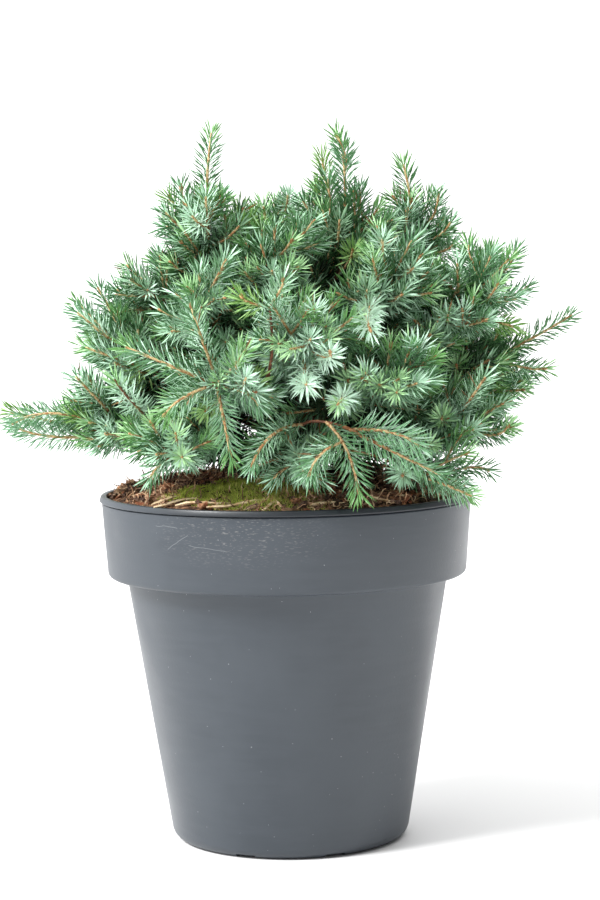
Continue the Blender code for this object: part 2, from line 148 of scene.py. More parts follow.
def add(tree, kind, settings=None, **inputs):
    """One node, with its settings, and each named input given a value or wired to a socket."""
    node = tree.nodes.new("ShaderNode" + kind)
    for key, value in (settings or {}).items():
        setattr(node, key, value)
    for title, value in inputs.items():
        put(tree, node.inputs[title.replace("_", " ")], value)
    return node


def group_of(name, inputs, outputs):
    """A shader group with named sockets, its entry sockets and its exit sockets."""
    tree = bpy.data.node_groups.new(name, "ShaderNodeTree")
    for title, kind, value in inputs:
        socket = tree.interface.new_socket(title, in_out="INPUT", socket_type="NodeSocket" + kind)
        if value is not None:
            socket.default_value = value
    for title, kind in outputs:
        tree.interface.new_socket(title, in_out="OUTPUT", socket_type="NodeSocket" + kind)
    return tree, tree.nodes.new("NodeGroupInput").outputs, tree.nodes.new("NodeGroupOutput").inputs


def place(tree, group, **inputs):
    """A group set in a material's tree, as its outputs."""
    return add(tree, "Group", {"node_tree": group}, **inputs).outputs


def maths(tree, operation, *values):
    """The output of a Math node, each of its values an output or a number."""
    node = add(tree, "Math", {"operation": operation})
    for socket, value in zip(node.inputs, values):
        put(tree, socket, value)
    return node.outputs[0]


def mixed(tree, share, first, second):
    """The colour between two, each a colour or a socket."""
    node = add(tree, "Mix", {"data_type": "RGBA"})
    for socket, value in zip((node.inputs[0], node.inputs[6], node.inputs[7]), (share, first, second)):
        put(tree, socket, (*value, 1) if isinstance(value, tuple) else value)
    return node.outputs[2]


def raised(tree, shader, height, strength, distance):
    """Fine relief from a height, as bump. The distance is how deep it goes, in metres."""
    relief = add(tree, "Bump", Strength=strength, Distance=distance, Height=height)
    tree.links.new(relief.outputs[0], shader.inputs["Normal"])


def new_material(name, roughness, specular):
    """A material, its tree, its shader and the object coordinates that its patterns follow."""
    made = bpy.data.materials.new(name)
    made.use_nodes = True
    tree = made.node_tree
    shader = tree.nodes["Principled BSDF"]
    shader.inputs["Roughness"].default_value = roughness
    shader.inputs["Specular IOR Level"].default_value = specular
    return made, tree, shader, add(tree, "TexCoord").outputs["Object"]


# %% Blotches
blotches, given, gives = group_of(
    "blotches",
    (("Vector", "Vector", None), ("Scale", "Float", 50.0), ("Detail", "Float", 3.0),
     ("From", "Float", 0.4), ("To", "Float", 0.6)),
    (("Mask", "Float"),))
cloud = add(blotches, "TexNoise", Vector=given["Vector"], Scale=given["Scale"], Detail=given["Detail"])
edge = add(blotches, "MapRange", {"interpolation_type": "SMOOTHSTEP"}, Value=cloud.outputs["Fac"],
           From_Min=given["From"], From_Max=given["To"])
blotches.links.new(edge.outputs["Result"], gives["Mask"])

# %% Specks
specks, given, gives = group_of(
    "specks",
    (("Vector", "Vector", None), ("Scale", "Float", 300.0), ("Size", "Float", 0.1)),
    (("Mask", "Float"),))
cell = add(specks, "TexVoronoi", Vector=given["Vector"], Scale=given["Scale"])
rarity = add(specks, "TexNoise", Vector=given["Vector"], Scale=60.0)
width = maths(specks, "MULTIPLY", given["Size"], rarity.outputs["Fac"])
specks.links.new(maths(specks, "LESS_THAN", cell.outputs["Distance"], width), gives["Mask"])
print("groups:", [tree.name for tree in bpy.data.node_groups])

# %% [markdown]
# ## Floor
#
# A wide pale disc. Its colour stays below full white, so under this much light it reads as white
# and still takes the soft shade at the pot's foot.

# %% Floor
FLOOR_REACH = 60
FLOOR_SHADE = (0.80, 0.80, 0.80)
FLOOR_WHITE = (0.83, 0.83, 0.83)
bm = bmesh.new()
bmesh.ops.create_circle(bm, segments=64, radius=FLOOR_REACH, cap_ends=True)
floor_mesh = bpy.data.meshes.new("floor")
bm.to_mesh(floor_mesh)
bm.free()
floor = bpy.data.objects.new("floor", floor_mesh)
scene.collection.objects.link(floor)
pale, tree, shader, point = new_material("pale_floor", 0.8, 0.2)
soft = place(tree, blotches, Vector=point, Scale=3.0)["Mask"]
tree.links.new(mixed(tree, soft, FLOOR_SHADE, FLOOR_WHITE), shader.inputs["Base Color"])
floor_mesh.materials.append(pale)

# %% [markdown]
# ## Pieces and their places
#
# Every finished piece rides on the one body of this part and hides the imported nodes that it replaces. One
# helper does both. Its object stays at the origin, and its place is in its mesh.

# %% Helper for finished pieces
def finished(name, mesh, materials, stands_for=()):
    made = bpy.data.objects.new(name, mesh)
    scene.collection.objects.link(made)
    for material in materials:
        mesh.materials.append(material)
    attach(made, "root")
    if stands_for:
        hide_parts(*stands_for)
    triangles = sum(len(face.vertices) - 2 for face in mesh.polygons)
    print(f"{name}: {triangles} triangles")


def mesh_from(bm, name, sharp=None):
    """The bmesh as a mesh, smooth but for edges sharper than the given angle in degrees."""
    mesh = bpy.data.meshes.new(name)
    bm.to_mesh(mesh)
    bm.free()
    if sharp:
        mesh.shade_smooth()
        mesh.set_sharp_from_angle(angle=math.radians(sharp))
    return mesh


# %% [markdown]
# ## Pot
#
# A nursery pot is turned about one axis, so its wall is drawn once, as half a section, and spun
# round. The section goes up the outside, over the lip and down the inside. Corners that light
# catches, at the foot, at the two edges of the collar and along the lip, are bevelled after the
# spin, because a bevel keeps the same width all the way round.

# %% Pot section
POT_HEIGHT = 197 * MM
FOOT_RADIUS = 66.9 * MM
BODY_TOP_RADIUS = 91.4 * MM
BAND_BOTTOM = 152 * MM
BAND_BOTTOM_RADIUS = 101.9 * MM
BAND_TOP_RADIUS = 105 * MM
RIM_RADIUS = 106.4 * MM
LIP_HEIGHT = 3 * MM
WALL = 2.6 * MM
FLOOR = 3.5 * MM
EASE = 1 * MM
FOOT_ROUND = 6 * MM
LIP_SLOPE = 1 * MM
SEAM = 0.9 * MM
POT_STEPS = 144
band_floor = BAND_BOTTOM + WALL - EASE
lip_foot = POT_HEIGHT - LIP_HEIGHT
# Each corner has its radius, its height and how far it is eased, the last in millimetres.
SECTION = (
    (0, 0, 0),
    (FOOT_RADIUS, 0, FOOT_ROUND / MM),
    (BODY_TOP_RADIUS, BAND_BOTTOM - EASE, 2.2),
    (BAND_BOTTOM_RADIUS, BAND_BOTTOM - EASE, 2.6),
    (BAND_TOP_RADIUS, lip_foot - SEAM, 0.5),
    (BAND_TOP_RADIUS - SEAM, lip_foot - SEAM / 2, 0.2),
    (RIM_RADIUS, lip_foot, 0.7),
    (RIM_RADIUS - LIP_SLOPE, POT_HEIGHT, 0.5),
    (BAND_TOP_RADIUS - WALL, POT_HEIGHT, 0.3),
    (BAND_TOP_RADIUS - WALL, lip_foot, 0),
    (BAND_BOTTOM_RADIUS - WALL, band_floor, 0),
    (BODY_TOP_RADIUS - WALL, band_floor, 0),
    (FOOT_RADIUS - WALL, FLOOR, 0),
    (0, FLOOR, 0),
)

# %% Spin the section and ease its corners
bm = bmesh.new()
corners = [bm.verts.new((radius, 0, height)) for radius, height, _ in SECTION]
outline = [bm.edges.new(pair) for pair in zip(corners, corners[1:])]
bmesh.ops.spin(bm, geom=corners + outline, axis=UP, cent=(0, 0, 0), angle=math.tau, steps=POT_STEPS,
               use_merge=True, use_duplicate=False)
bmesh.ops.remove_doubles(bm, verts=bm.verts, dist=0.02 * MM)
bmesh.ops.recalc_face_normals(bm, faces=bm.faces)


def ring_edges(bm, radius, height):
    """The edges that run round the axis at one corner of the section."""
    near = 0.05 * MM
    on_ring = {v for v in bm.verts if abs(v.co.z - height) < near and abs(v.co.xy.length - radius) < near}
    return [e for e in bm.edges if e.verts[0] in on_ring and e.verts[1] in on_ring]


eased = [(ring_edges(bm, radius, height), ease) for radius, height, ease in SECTION if ease]
for edges, ease in eased:
    bmesh.ops.bevel(bm, geom=edges, offset=ease * MM, offset_type="OFFSET", affect="EDGES", segments=4,
                    profile=0.5, material=-1, clamp_overlap=True)
print("pot wall:", len(bm.faces), "faces, closed:", all(e.is_manifold for e in bm.edges))

# %% [markdown]
# The foot has small drain notches round its edge. Each is the mark of a block pushed into the
# mould, so a ring of eased blocks is taken away with a Boolean, which is then applied.

# %% Foot notches
NOTCHES = 8
NOTCH_WIDTH = 12 * MM
NOTCH_HEIGHT = 2.2 * MM
NOTCH_DEPTH = 8 * MM
pot = bpy.data.objects.new("uncut_pot", mesh_from(bm, "uncut_pot"))
cutter = bmesh.new()
for i in range(NOTCHES):
    turn = Matrix.Rotation(math.tau * (i + 0.5) / NOTCHES, 4, "Z")
    size = Matrix.Diagonal((2 * NOTCH_DEPTH, NOTCH_WIDTH, 2 * NOTCH_HEIGHT, 1))
    bmesh.ops.create_cube(cutter, matrix=turn @ Matrix.Translation((FOOT_RADIUS, 0, 0)) @ size)
bmesh.ops.bevel(cutter, geom=cutter.edges[:], offset=0.7 * MM, offset_type="OFFSET", affect="EDGES",
                segments=2, profile=0.5, material=-1)
notches = bpy.data.objects.new("notches", mesh_from(cutter, "notches"))
for helper in (pot, notches):
    scene.collection.objects.link(helper)
cut = pot.modifiers.new("notches", "BOOLEAN")
cut.operation = "DIFFERENCE"
cut.object = notches
pot_mesh = bpy.data.meshes.new_from_object(pot.evaluated_get(bpy.context.evaluated_depsgraph_get()))
for helper in (pot, notches):
    bpy.data.objects.remove(helper)
pot_mesh.shade_smooth()
pot_mesh.set_sharp_from_angle(angle=math.radians(40))

# %% [markdown]
# ### Slate plastic
#
# The pot is satin plastic in a blue-grey slate colour. Up close it isn't even: the mould leaves
# faint bands that run round it, handling has rubbed a dusty patch on the collar, left of the
# middle, with a few fine scratches at the front, and pale specks of dried splashes sit on the body.
# The lip is painted darker, a painted shade and reflection, as if turned from the light and mirroring the
# dark plant, but for its left end, where the light falls. The cloudy wear changes the colour a little, and
# the wear and the dust both dull the shine.

# %% Scratch group
WANDER = 1.2 * MM
scratch, given, gives = group_of(
    "scratch", (("Vector", "Vector", None), ("Width", "Float", 0.0003), ("Length", "Float", 0.02)),
    (("Mask", "Float"),))
parts = add(scratch, "SeparateXYZ", Vector=given["Vector"]).outputs
uneven = add(scratch, "TexNoise", Vector=given["Vector"], Scale=90.0).outputs["Fac"]
drift = add(scratch, "MapRange", Value=uneven, To_Min=-WANDER, To_Max=WANDER).outputs[0]
across = maths(scratch, "ADD", parts["Z"], drift)
within = [maths(scratch, "LESS_THAN", maths(scratch, "ABSOLUTE", value), limit)
          for value, limit in ((across, given["Width"]), (parts["X"], given["Length"]))]
scratch.links.new(maths(scratch, "MULTIPLY", *within), gives["Mask"])

# %% Slate material
SLATE = (0.034, 0.043, 0.054)
SLATE_WORN = (0.047, 0.057, 0.069)
SLATE_SHADED = (0.014, 0.018, 0.023)
DUST = (0.17, 0.17, 0.17)
SPLASHED = (0.26, 0.27, 0.28)
SCRATCHED = (0.12, 0.13, 0.14)
DUST_SHIFT = (0.40, 1.6, -7.95)
DUST_SCALE = (17.0, 17.0, 43.0)
SCRATCH_WIDTH = 0.16 * MM
# Each scratch has its place across and up, its slope in degrees and half its length.
SCRATCHES = ((-0.042, 0.1765, 8, 0.010), (-0.058, 0.179, -38, 0.007), (-0.064, 0.187, 2, 0.006))
LIP_LIT_UP_TO = -95 * MM
LIP_SHADED_FROM = -45 * MM
slate, tree, shader, point = new_material("slate_plastic", 0.42, 0.5)
bands = add(tree, "Mapping", Vector=point, Scale=(0.15, 0.15, 1.0)).outputs[0]
moulding = place(tree, blotches, Vector=bands, Scale=240.0, Detail=2.0, From=0.35, To=0.7)["Mask"]
cloudy = place(tree, blotches, Vector=point, Scale=18.0, Detail=4.0, From=0.35, To=0.7)["Mask"]
colour = mixed(tree, cloudy, SLATE, SLATE_WORN)
colour = mixed(tree, maths(tree, "MULTIPLY", moulding, 0.35), colour, SLATE_WORN)
rubbed = add(tree, "Mapping", Vector=point, Location=DUST_SHIFT, Scale=DUST_SCALE).outputs[0]
patch = add(tree, "TexGradient", {"gradient_type": "SPHERICAL"}, Vector=rubbed).outputs["Fac"]
smears = add(tree, "Mapping", Vector=point, Scale=(1.0, 1.0, 4.0)).outputs[0]
parts = add(tree, "SeparateXYZ", Vector=point).outputs
dusty = place(tree, blotches, Vector=smears, Scale=420.0, Detail=3.0, From=0.55, To=0.72)["Mask"]
dust = maths(tree, "MULTIPLY", patch, dusty)
colour = mixed(tree, dust, colour, DUST)
splashes = place(tree, specks, Vector=point, Scale=170.0, Size=0.075)["Mask"]
colour = mixed(tree, splashes, colour, SPLASHED)
front = maths(tree, "LESS_THAN", parts["Y"], 0)
for x, height, slope, length in SCRATCHES:
    slope = math.radians(slope)
    across = x * math.cos(slope) - height * math.sin(slope)
    upward = x * math.sin(slope) + height * math.cos(slope)
    turned = add(tree, "Mapping", Vector=point, Rotation=(0, -slope, 0), Location=(-across, 0.0, -upward))
    line = place(tree, scratch, Vector=turned.outputs[0], Width=SCRATCH_WIDTH, Length=length)["Mask"]
    colour = mixed(tree, maths(tree, "MULTIPLY", line, front), colour, SCRATCHED)
# Painted shade and reflection: the lip is darkened from its left end on, as if turned from the light and
# mirroring the dark plant.
on_lip = add(tree, "MapRange", Value=parts["Z"], From_Min=lip_foot - SEAM, From_Max=lip_foot).outputs[0]
painted_lip_shade = add(tree, "MapRange", Value=parts["X"], From_Min=LIP_LIT_UP_TO,
                  From_Max=LIP_SHADED_FROM).outputs[0]
colour = mixed(tree, maths(tree, "MULTIPLY", on_lip, painted_lip_shade), colour, SLATE_SHADED)
tree.links.new(colour, shader.inputs["Base Color"])
gloss = add(tree, "MapRange", Value=cloudy, To_Min=0.36, To_Max=0.5).outputs[0]
tree.links.new(maths(tree, "MULTIPLY_ADD", dust, 0.5, gloss), shader.inputs["Roughness"])
peel = add(tree, "TexNoise", Vector=point, Scale=700.0, Detail=2.0).outputs["Fac"]
raised(tree, shader, maths(tree, "MULTIPLY_ADD", moulding, 0.6, peel), 0.12, 0.4 * MM)
finished("pot_shell", pot_mesh, [slate], ["pot"])

# %% [markdown]
# ## Soil
#
# The fill is composted bark and peat: a dark, crumbly bed, with loose chips of bark, curled brown
# fibres and a few straw-coloured slivers on top. The bed is a thick disc whose top is inset ring
# after ring and then lifted point by point, as one would push clay. Its height follows the same
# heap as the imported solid, with finer lumps added.

# %% Height of the heap
SOIL_EDGE = 195 * MM
SOIL_CROWN = 208 * MM
SOIL_LUMP = 2.6 * MM
SOIL_LUMP_WIDTH = 26 * MM
SOIL_LUMP_START = Vector((3.1, 1.7, 0))
SOIL_LEVEL_SHARE = 0.16
HEAP_POWER = 2.5
CLOD_WIDTH = 7 * MM
CLOD_HEIGHT = 1.5 * MM
SOIL_RADIUS = BAND_TOP_RADIUS - WALL - 0.6 * MM


def heap(radius):
    """The smooth height of the heap at a distance from the pot's axis."""
    share = np.minimum(1, radius / (BAND_TOP_RADIUS - WALL))
    return SOIL_EDGE + (SOIL_CROWN - SOIL_EDGE) * (1 - share**HEAP_POWER)


def soil_height(x, y):
    """The heap with its broad lumps, level round the trunk."""
    radius = math.hypot(x, y)
    share = min(1, radius / (BAND_TOP_RADIUS - WALL))
    lumps = noise.noise(Vector((x, y, 0)) / SOIL_LUMP_WIDTH + SOIL_LUMP_START)
    return float(heap(radius)) + SOIL_LUMP * lumps * min(1, max(0, share - SOIL_LEVEL_SHARE) * 6)


def crumbly_height(x, y):
    """The heap with clods and crumbs on it."""
    clods = noise.fractal(Vector((x, y, 0.3)) / CLOD_WIDTH, 0.7, 2.1, 4)
    return soil_height(x, y) + CLOD_HEIGHT * clods


# %% Soil bed
SOIL_LOOPS = 47
bm = bmesh.new()
bmesh.ops.create_circle(bm, segments=120, radius=SOIL_RADIUS, cap_ends=True)
bottom = bm.faces[:]
underside = set(bm.verts)
drawn_up = bmesh.ops.extrude_face_region(bm, geom=bottom, use_keep_orig=True)["geom"]
top_face = [item for item in drawn_up if isinstance(item, bmesh.types.BMFace)]
for _ in range(SOIL_LOOPS - 1):
    bmesh.ops.inset_region(bm, faces=top_face, thickness=SOIL_RADIUS / SOIL_LOOPS, use_even_offset=False)
for vert in bm.verts:
    vert.co.z = band_floor + 1 * MM if vert in underside else crumbly_height(vert.co.x, vert.co.y)
bmesh.ops.recalc_face_normals(bm, faces=bm.faces)
print("soil bed:", len(bm.faces), "faces, closed:", all(e.is_manifold for e in bm.edges))

# %% Soil material
PEAT_DARK = (0.045, 0.022, 0.012)
PEAT = (0.19, 0.095, 0.052)
PEAT_PALE = (0.40, 0.23, 0.13)
peat, tree, shader, point = new_material("peat", 0.9, 0.25)
damp = place(tree, blotches, Vector=point, Scale=150.0, Detail=5.0)["Mask"]
crumbs = place(tree, blotches, Vector=point, Scale=420.0, Detail=3.0, From=0.52, To=0.68)["Mask"]
colour = mixed(tree, crumbs, mixed(tree, damp, PEAT_DARK, PEAT), PEAT_PALE)
tree.links.new(colour, shader.inputs["Base Color"])
grit = add(tree, "TexNoise", Vector=point, Scale=900.0, Detail=4.0).outputs["Fac"]
raised(tree, shader, grit, 0.8, 1 * MM)
finished("soil_bed", mesh_from(bm, "soil_bed"), [peat], ["soil"])

# %% [markdown]
# ## Many small things
#
# Chips, blades of moss, buds and needles come by the hundred or the thousand. Each kind has one or
# a few shapes, modelled once with bmesh operators, and the copies are joined into one mesh from
# arrays: a place, three directions and three sizes for each copy. One joined mesh is far lighter
# than thousands of objects.

# %% Joined copies of one shape
def shape_of(bm):
    """A bmesh as arrays: its points, its triangles and the look number of each triangle."""
    bmesh.ops.triangulate(bm, faces=bm.faces[:])
    bm.verts.index_update()
    points = np.array([vert.co[:] for vert in bm.verts])
    triangles = np.array([[vert.index for vert in face.verts] for face in bm.faces])
    looks = np.array([face.material_index for face in bm.faces])
    bm.free()
    return points, triangles, looks


def mesh_of(name, points, triangles, looks=None, smooth=False):
    """A mesh from joined arrays. looks gives each triangle's material number."""
    mesh = bpy.data.meshes.new(name)
    mesh.vertices.add(len(points))
    mesh.vertices.foreach_set("co", np.asarray(points, np.float32).ravel())
    mesh.loops.add(3 * len(triangles))
    mesh.loops.foreach_set("vertex_index", np.asarray(triangles, np.int32).ravel())
    mesh.polygons.add(len(triangles))
    mesh.polygons.foreach_set("loop_start", np.arange(0, 3 * len(triangles), 3, dtype=np.int32))
    if looks is not None:
        mesh.polygons.foreach_set("material_index", np.asarray(looks, np.int32))
    mesh.update(calc_edges=True)
    mesh.validate()
    if smooth:
        mesh.shade_smooth()
    else:
        mesh.shade_flat()
    return mesh


def strewn(shape, places, turns, sizes):
    """The joined arrays of many copies: a place, a 3 by 3 turn and three sizes for each."""
    points, triangles, looks = shape
    scaled = points[None, :, :] * np.asarray(sizes)[:, None, :]
    moved = np.einsum("nij,nvj->nvi", turns, scaled) + np.asarray(places)[:, None, :]
    count = len(places)
    joined = triangles[None] + (np.arange(count) * len(points))[:, None, None]
    return moved.reshape(-1, 3), joined.reshape(-1, 3), np.tile(looks, count)


def gathered(parts):
    """Several joined arrays as one."""
    start, points, triangles, looks = 0, [], [], []
    for part_points, part_triangles, part_looks in parts:
        points.append(part_points)
        triangles.append(part_triangles + start)
        looks.append(part_looks)
        start += len(part_points)
    return np.concatenate(points), np.concatenate(triangles), np.concatenate(looks)


def unit(vectors):
    """The same directions with a length of one."""
    return vectors / np.maximum(np.linalg.norm(vectors, axis=-1, keepdims=True), 1e-9)


def turns_along(forward, up):
    """Turns whose third direction is forward and whose second is as near to up as it can be."""
    forward = unit(forward)
    side = unit(np.cross(up, forward))
    return np.stack([side, np.cross(forward, side), forward], axis=-1)


# %% [markdown]
# ### Loose bark
#
# A chip is a thin flake with broken edges: a cube cut once across each way and jittered, in six
# variants and three colours. Each copy is stretched to its own length, width and thickness, so that
# thin ones read as flakes and thick ones as clods. They lie nearly flat, tipped by chance.

# %% Bark chips
CHIP_VARIANTS = 6
CHIPS_OF_EACH = 150
CHIP_LIFT = 0.4 * MM
STREWN_SHARE = 0.97


def chip_shape(variant):
    """One broken flake, with one of three look numbers."""
    bm = bmesh.new()
    bmesh.ops.create_cube(bm, size=1)
    bmesh.ops.subdivide_edges(bm, edges=bm.edges[:], cuts=1, use_grid_fill=True)
    for vert in bm.verts:
        vert.co += noise.noise_vector(vert.co * 1.7 + Vector((variant * 5.1, 0, 0))) * 0.28
    bmesh.ops.recalc_face_normals(bm, faces=bm.faces)
    shape = shape_of(bm)
    return shape[0], shape[1], np.full(len(shape[2]), variant % 3)


def strewn_on_soil(count, rough=0.5):
    """Places on the heap and tipped turns for loose things."""
    radius = SOIL_RADIUS * STREWN_SHARE * np.sqrt(chance.uniform(0, 1, count))
    angle = chance.uniform(0, math.tau, count)
    x, y = radius * np.cos(angle), radius * np.sin(angle)
    z = np.array([crumbly_height(a, b) for a, b in zip(x, y)])
    forward = np.stack([chance.normal(0, 1, count), chance.normal(0, 1, count),
                        chance.normal(0, rough, count)], axis=-1)
    up = np.stack([chance.normal(0, 0.35, count), chance.normal(0, 0.35, count), np.ones(count)], axis=-1)
    return np.stack([x, y, z], axis=-1), turns_along(forward, up)


chips = []
for variant in range(CHIP_VARIANTS):
    places, turns = strewn_on_soil(CHIPS_OF_EACH, 0.35)
    length = chance.uniform(3, 9, CHIPS_OF_EACH) * MM
    width = length * chance.uniform(0.35, 0.6, CHIPS_OF_EACH)
    thickness = length * chance.uniform(0.12, 0.4, CHIPS_OF_EACH)
    places[:, 2] += CHIP_LIFT
    chips.append(strewn(chip_shape(variant), places, turns, np.stack([width, thickness, length], -1)))


def plain_bark(name, dark, pale, roughness=0.85):
    """Dry woody stuff in two mixed tones, with a fine grain."""
    made, tree, shader, point = new_material(name, roughness, 0.3)
    mask = place(tree, blotches, Vector=point, Scale=330.0, Detail=3.0)["Mask"]
    tree.links.new(mixed(tree, mask, dark, pale), shader.inputs["Base Color"])
    grain = add(tree, "TexNoise", Vector=point, Scale=1400.0, Detail=3.0).outputs["Fac"]
    raised(tree, shader, grain, 0.5, 0.6 * MM)
    return made


chip_looks = [plain_bark("chip_dark", (0.05, 0.026, 0.018), (0.16, 0.095, 0.065)),
              plain_bark("chip_brown", (0.20, 0.105, 0.06), (0.44, 0.27, 0.17)),
              plain_bark("chip_red", (0.24, 0.085, 0.042), (0.48, 0.24, 0.13))]
points, triangles, looks = gathered(chips)
finished("bark_chips", mesh_of("bark_chips", points, triangles, looks), chip_looks)

# %% [markdown]
# ### Fibres and slivers
#
# Peat fibres are thin curled threads. Each is a narrow sleeve of three sides round a wandering
# line. The same sleeve maker serves for straw slivers here and for the spruce's twigs later, so it
# takes many lines at once, each with its own radii.

# %% Sleeves round lines
BLUNT_FOOT = -0.4
POINTED_TIP = 0.9


def sleeves(lines, radii, sides, looks=None):
    """Closed tubes round many lines, as joined arrays. looks gives a number for each stretch."""
    points, triangles, tones = [], [], []
    start = 0
    around = np.arange(sides) * math.tau / sides
    ring = np.arange(sides)
    after = (ring + 1) % sides
    for number, line in enumerate(lines):
        axes = unit(np.gradient(line, axis=0))
        first = np.cross(axes[0], (0, 0, 1) if abs(axes[0][2]) < 0.9 else (1, 0, 0))
        count = len(line)
        for i in range(count):
            first = unit(first - axes[i] * (first @ axes[i]))
            second = np.cross(axes[i], first)
            circle = np.outer(np.cos(around), first) + np.outer(np.sin(around), second)
            points.append(line[i] + circle * radii[number][i])
        reach = radii[number][[0, -1], None] * np.array([[BLUNT_FOOT], [POINTED_TIP]])
        points.append(line[[0, -1]] + axes[[0, -1]] * reach)
        base, tip = start + count * sides, start + count * sides + 1
        for i in range(count - 1):
            low, high = start + i * sides, start + (i + 1) * sides
            triangles.append(np.stack([low + ring, low + after, high + after], -1))
            triangles.append(np.stack([low + ring, high + after, high + ring], -1))
            tones.append(np.full(2 * sides, looks[number][i] if looks else 0))
        last = start + (count - 1) * sides
        triangles.append(np.stack([start + after, start + ring, np.full(sides, base)], -1))
        triangles.append(np.stack([last + ring, last + after, np.full(sides, tip)], -1))
        tones.append(np.full(sides, looks[number][0] if looks else 0))
        tones.append(np.full(sides, looks[number][-1] if looks else 0))
        start += count * sides + 2
    return np.concatenate(points), np.concatenate(triangles), np.concatenate(tones)


# %% Curled fibres
FIBRES = 2600
FIBRE_STEPS = 5
FIBRE_CURL = 0.6


def curled(start, heading, length):
    """A wandering line that stays inside the pot and never goes far down into the heap."""
    line = [np.array(start)]
    heading = unit(np.array(heading))
    for _ in range(FIBRE_STEPS):
        heading = unit(heading + chance.normal(0, FIBRE_CURL, 3) * (1, 1, 0.8))
        line.append(line[-1] + heading * length / FIBRE_STEPS)
    line = np.array(line)
    radius = np.hypot(line[:, 0], line[:, 1])
    over = np.maximum(1, radius / (SOIL_RADIUS - 1 * MM))
    line[:, :2] /= over[:, None]
    ground = heap(np.hypot(line[:, 0], line[:, 1])) - 1 * MM
    line[:, 2] = np.maximum(line[:, 2], ground)
    return line


places, turns = strewn_on_soil(FIBRES)
lines = [curled(start, turn[:, 2] + (0, 0, 0.20), length)
         for start, turn, length in zip(places, turns, chance.uniform(5, 14, FIBRES) * MM)]
radii = [np.linspace(width, width * 0.5, len(line)) for line, width in
         zip(lines, chance.uniform(0.18, 0.60, FIBRES) * MM)]
fibre_tones = [np.full(len(line), tone) for line, tone in zip(lines, chance.integers(0, 3, FIBRES))]
fibre_looks = [plain_bark("fibre_dark", (0.10, 0.052, 0.030), (0.20, 0.11, 0.065)),
               plain_bark("fibre_brown", (0.30, 0.155, 0.085), (0.52, 0.32, 0.19)),
               plain_bark("fibre_tan", (0.46, 0.28, 0.155), (0.70, 0.52, 0.34))]
points, triangles, looks = sleeves(lines, radii, 3, fibre_tones)
finished("peat_fibres", mesh_of("peat_fibres", points, triangles, looks), fibre_looks)

# %% Straw slivers, most of them along the front
SLIVER_RADII = (0.5, 0.85, 0.9, 0.8, 0.7, 0.3)
SLIVER_LIFT = 2.2 * MM
# Each sliver has its place, its turn in degrees and its length, in millimetres.
SLIVERS = ((-58, -76, 8, 26), (-44, -84, -4, 30), (-30, -90, 5, 24), (-66, -66, 30, 15), (-8, -94, 64, 13),
           (-4, -92, 110, 12), (20, -92, 20, 14), (52, -78, -30, 14), (66, -62, 60, 12), (-20, -88, 12, 18),
           (-76, -38, 80, 16), (-50, 60, 20, 20), (40, 70, 120, 22), (80, 20, 75, 18), (-84, 10, 100, 14))
lines = []
for x, y, turn, length in SLIVERS:
    heading = np.array((math.cos(math.radians(turn)), math.sin(math.radians(turn)), 0.02))
    shares = np.linspace(-0.5, 0.5, len(SLIVER_RADII))[:, None]
    line = np.array((x, y, 0)) * MM + heading * shares * length * MM
    line[:, 2] = [soil_height(a, b) + SLIVER_LIFT for a, b, _ in line]
    lines.append(line)
radii = [np.array(SLIVER_RADII) * MM for _ in lines]
points, triangles, looks = sleeves(lines, radii, 4)
straw = plain_bark("straw", (0.50, 0.33, 0.17), (0.74, 0.58, 0.38), 0.6)
finished("straw_slivers", mesh_of("straw_slivers", points, triangles, looks), [straw])

# %% [markdown]
# ## Moss
#
# The moss is a low cushion that has crept over the front of the heap. From a step away it is a
# velvet of short blades, bright yellow-green where it is young and olive to brown where it is dry.
# A grid is pushed up into the cushion, and several thousand blades, four faces each, stand on it.

# %% Moss cushion
MOSS_TURNS = (math.radians(217), math.radians(285))
MOSS_RADII = (0.46, 0.985)
MOSS_THICKNESS = 4.6 * MM
MOSS_SINK = 1.2 * MM
MOSS_SKIRT = 2.5 * MM
MOSS_EASE = 0.6
PAD_WIDTH = 8 * MM


def hump(share):
    """A rounded hill from 0 up to 1 and back to 0."""
    return max(0, math.sin(math.pi * share)) ** MOSS_EASE


def moss_point(across, along):
    """A point of the cushion from its two shares, each from 0 to 1."""
    angle = MOSS_TURNS[0] + (MOSS_TURNS[1] - MOSS_TURNS[0]) * across
    ragged = 0.06 * noise.noise(Vector((across * 7, along * 3, 0.5)))
    front = MOSS_RADII[1] - 0.10 * max(0, 1 - 2.2 * across)
    radius = SOIL_RADIUS * (MOSS_RADII[0] + (front - MOSS_RADII[0]) * along + ragged * (1 - 0.7 * along))
    x, y = radius * math.cos(angle), radius * math.sin(angle)
    swell = hump(across) * hump(min(1, along + 0.04))
    pads = 0.7 + 0.5 * noise.noise(Vector((x, y, 0)) / PAD_WIDTH)
    return Vector((x, y, soil_height(x, y) - MOSS_SINK + (MOSS_THICKNESS * pads + MOSS_SINK) * swell))


bm = bmesh.new()
bmesh.ops.create_grid(bm, x_segments=44, y_segments=26, size=0.5)
for vert in bm.verts:
    vert.co = moss_point(vert.co.x + 0.5, vert.co.y + 0.5)
skin = bmesh.ops.extrude_face_region(bm, geom=bm.faces[:], use_keep_orig=True)
for vert in (item for item in skin["geom"] if isinstance(item, bmesh.types.BMVert)):
    vert.co.z -= MOSS_SKIRT
bmesh.ops.recalc_face_normals(bm, faces=bm.faces)
moss_bed, tree, shader, point = new_material("moss_bed", 0.95, 0.1)
mask = place(tree, blotches, Vector=point, Scale=120.0, Detail=4.0)["Mask"]
tree.links.new(mixed(tree, mask, (0.05, 0.045, 0.012), (0.13, 0.15, 0.028)), shader.inputs["Base Color"])
finished("moss_cushion", mesh_from(bm, "moss_cushion", 60), [moss_bed], ["moss"])

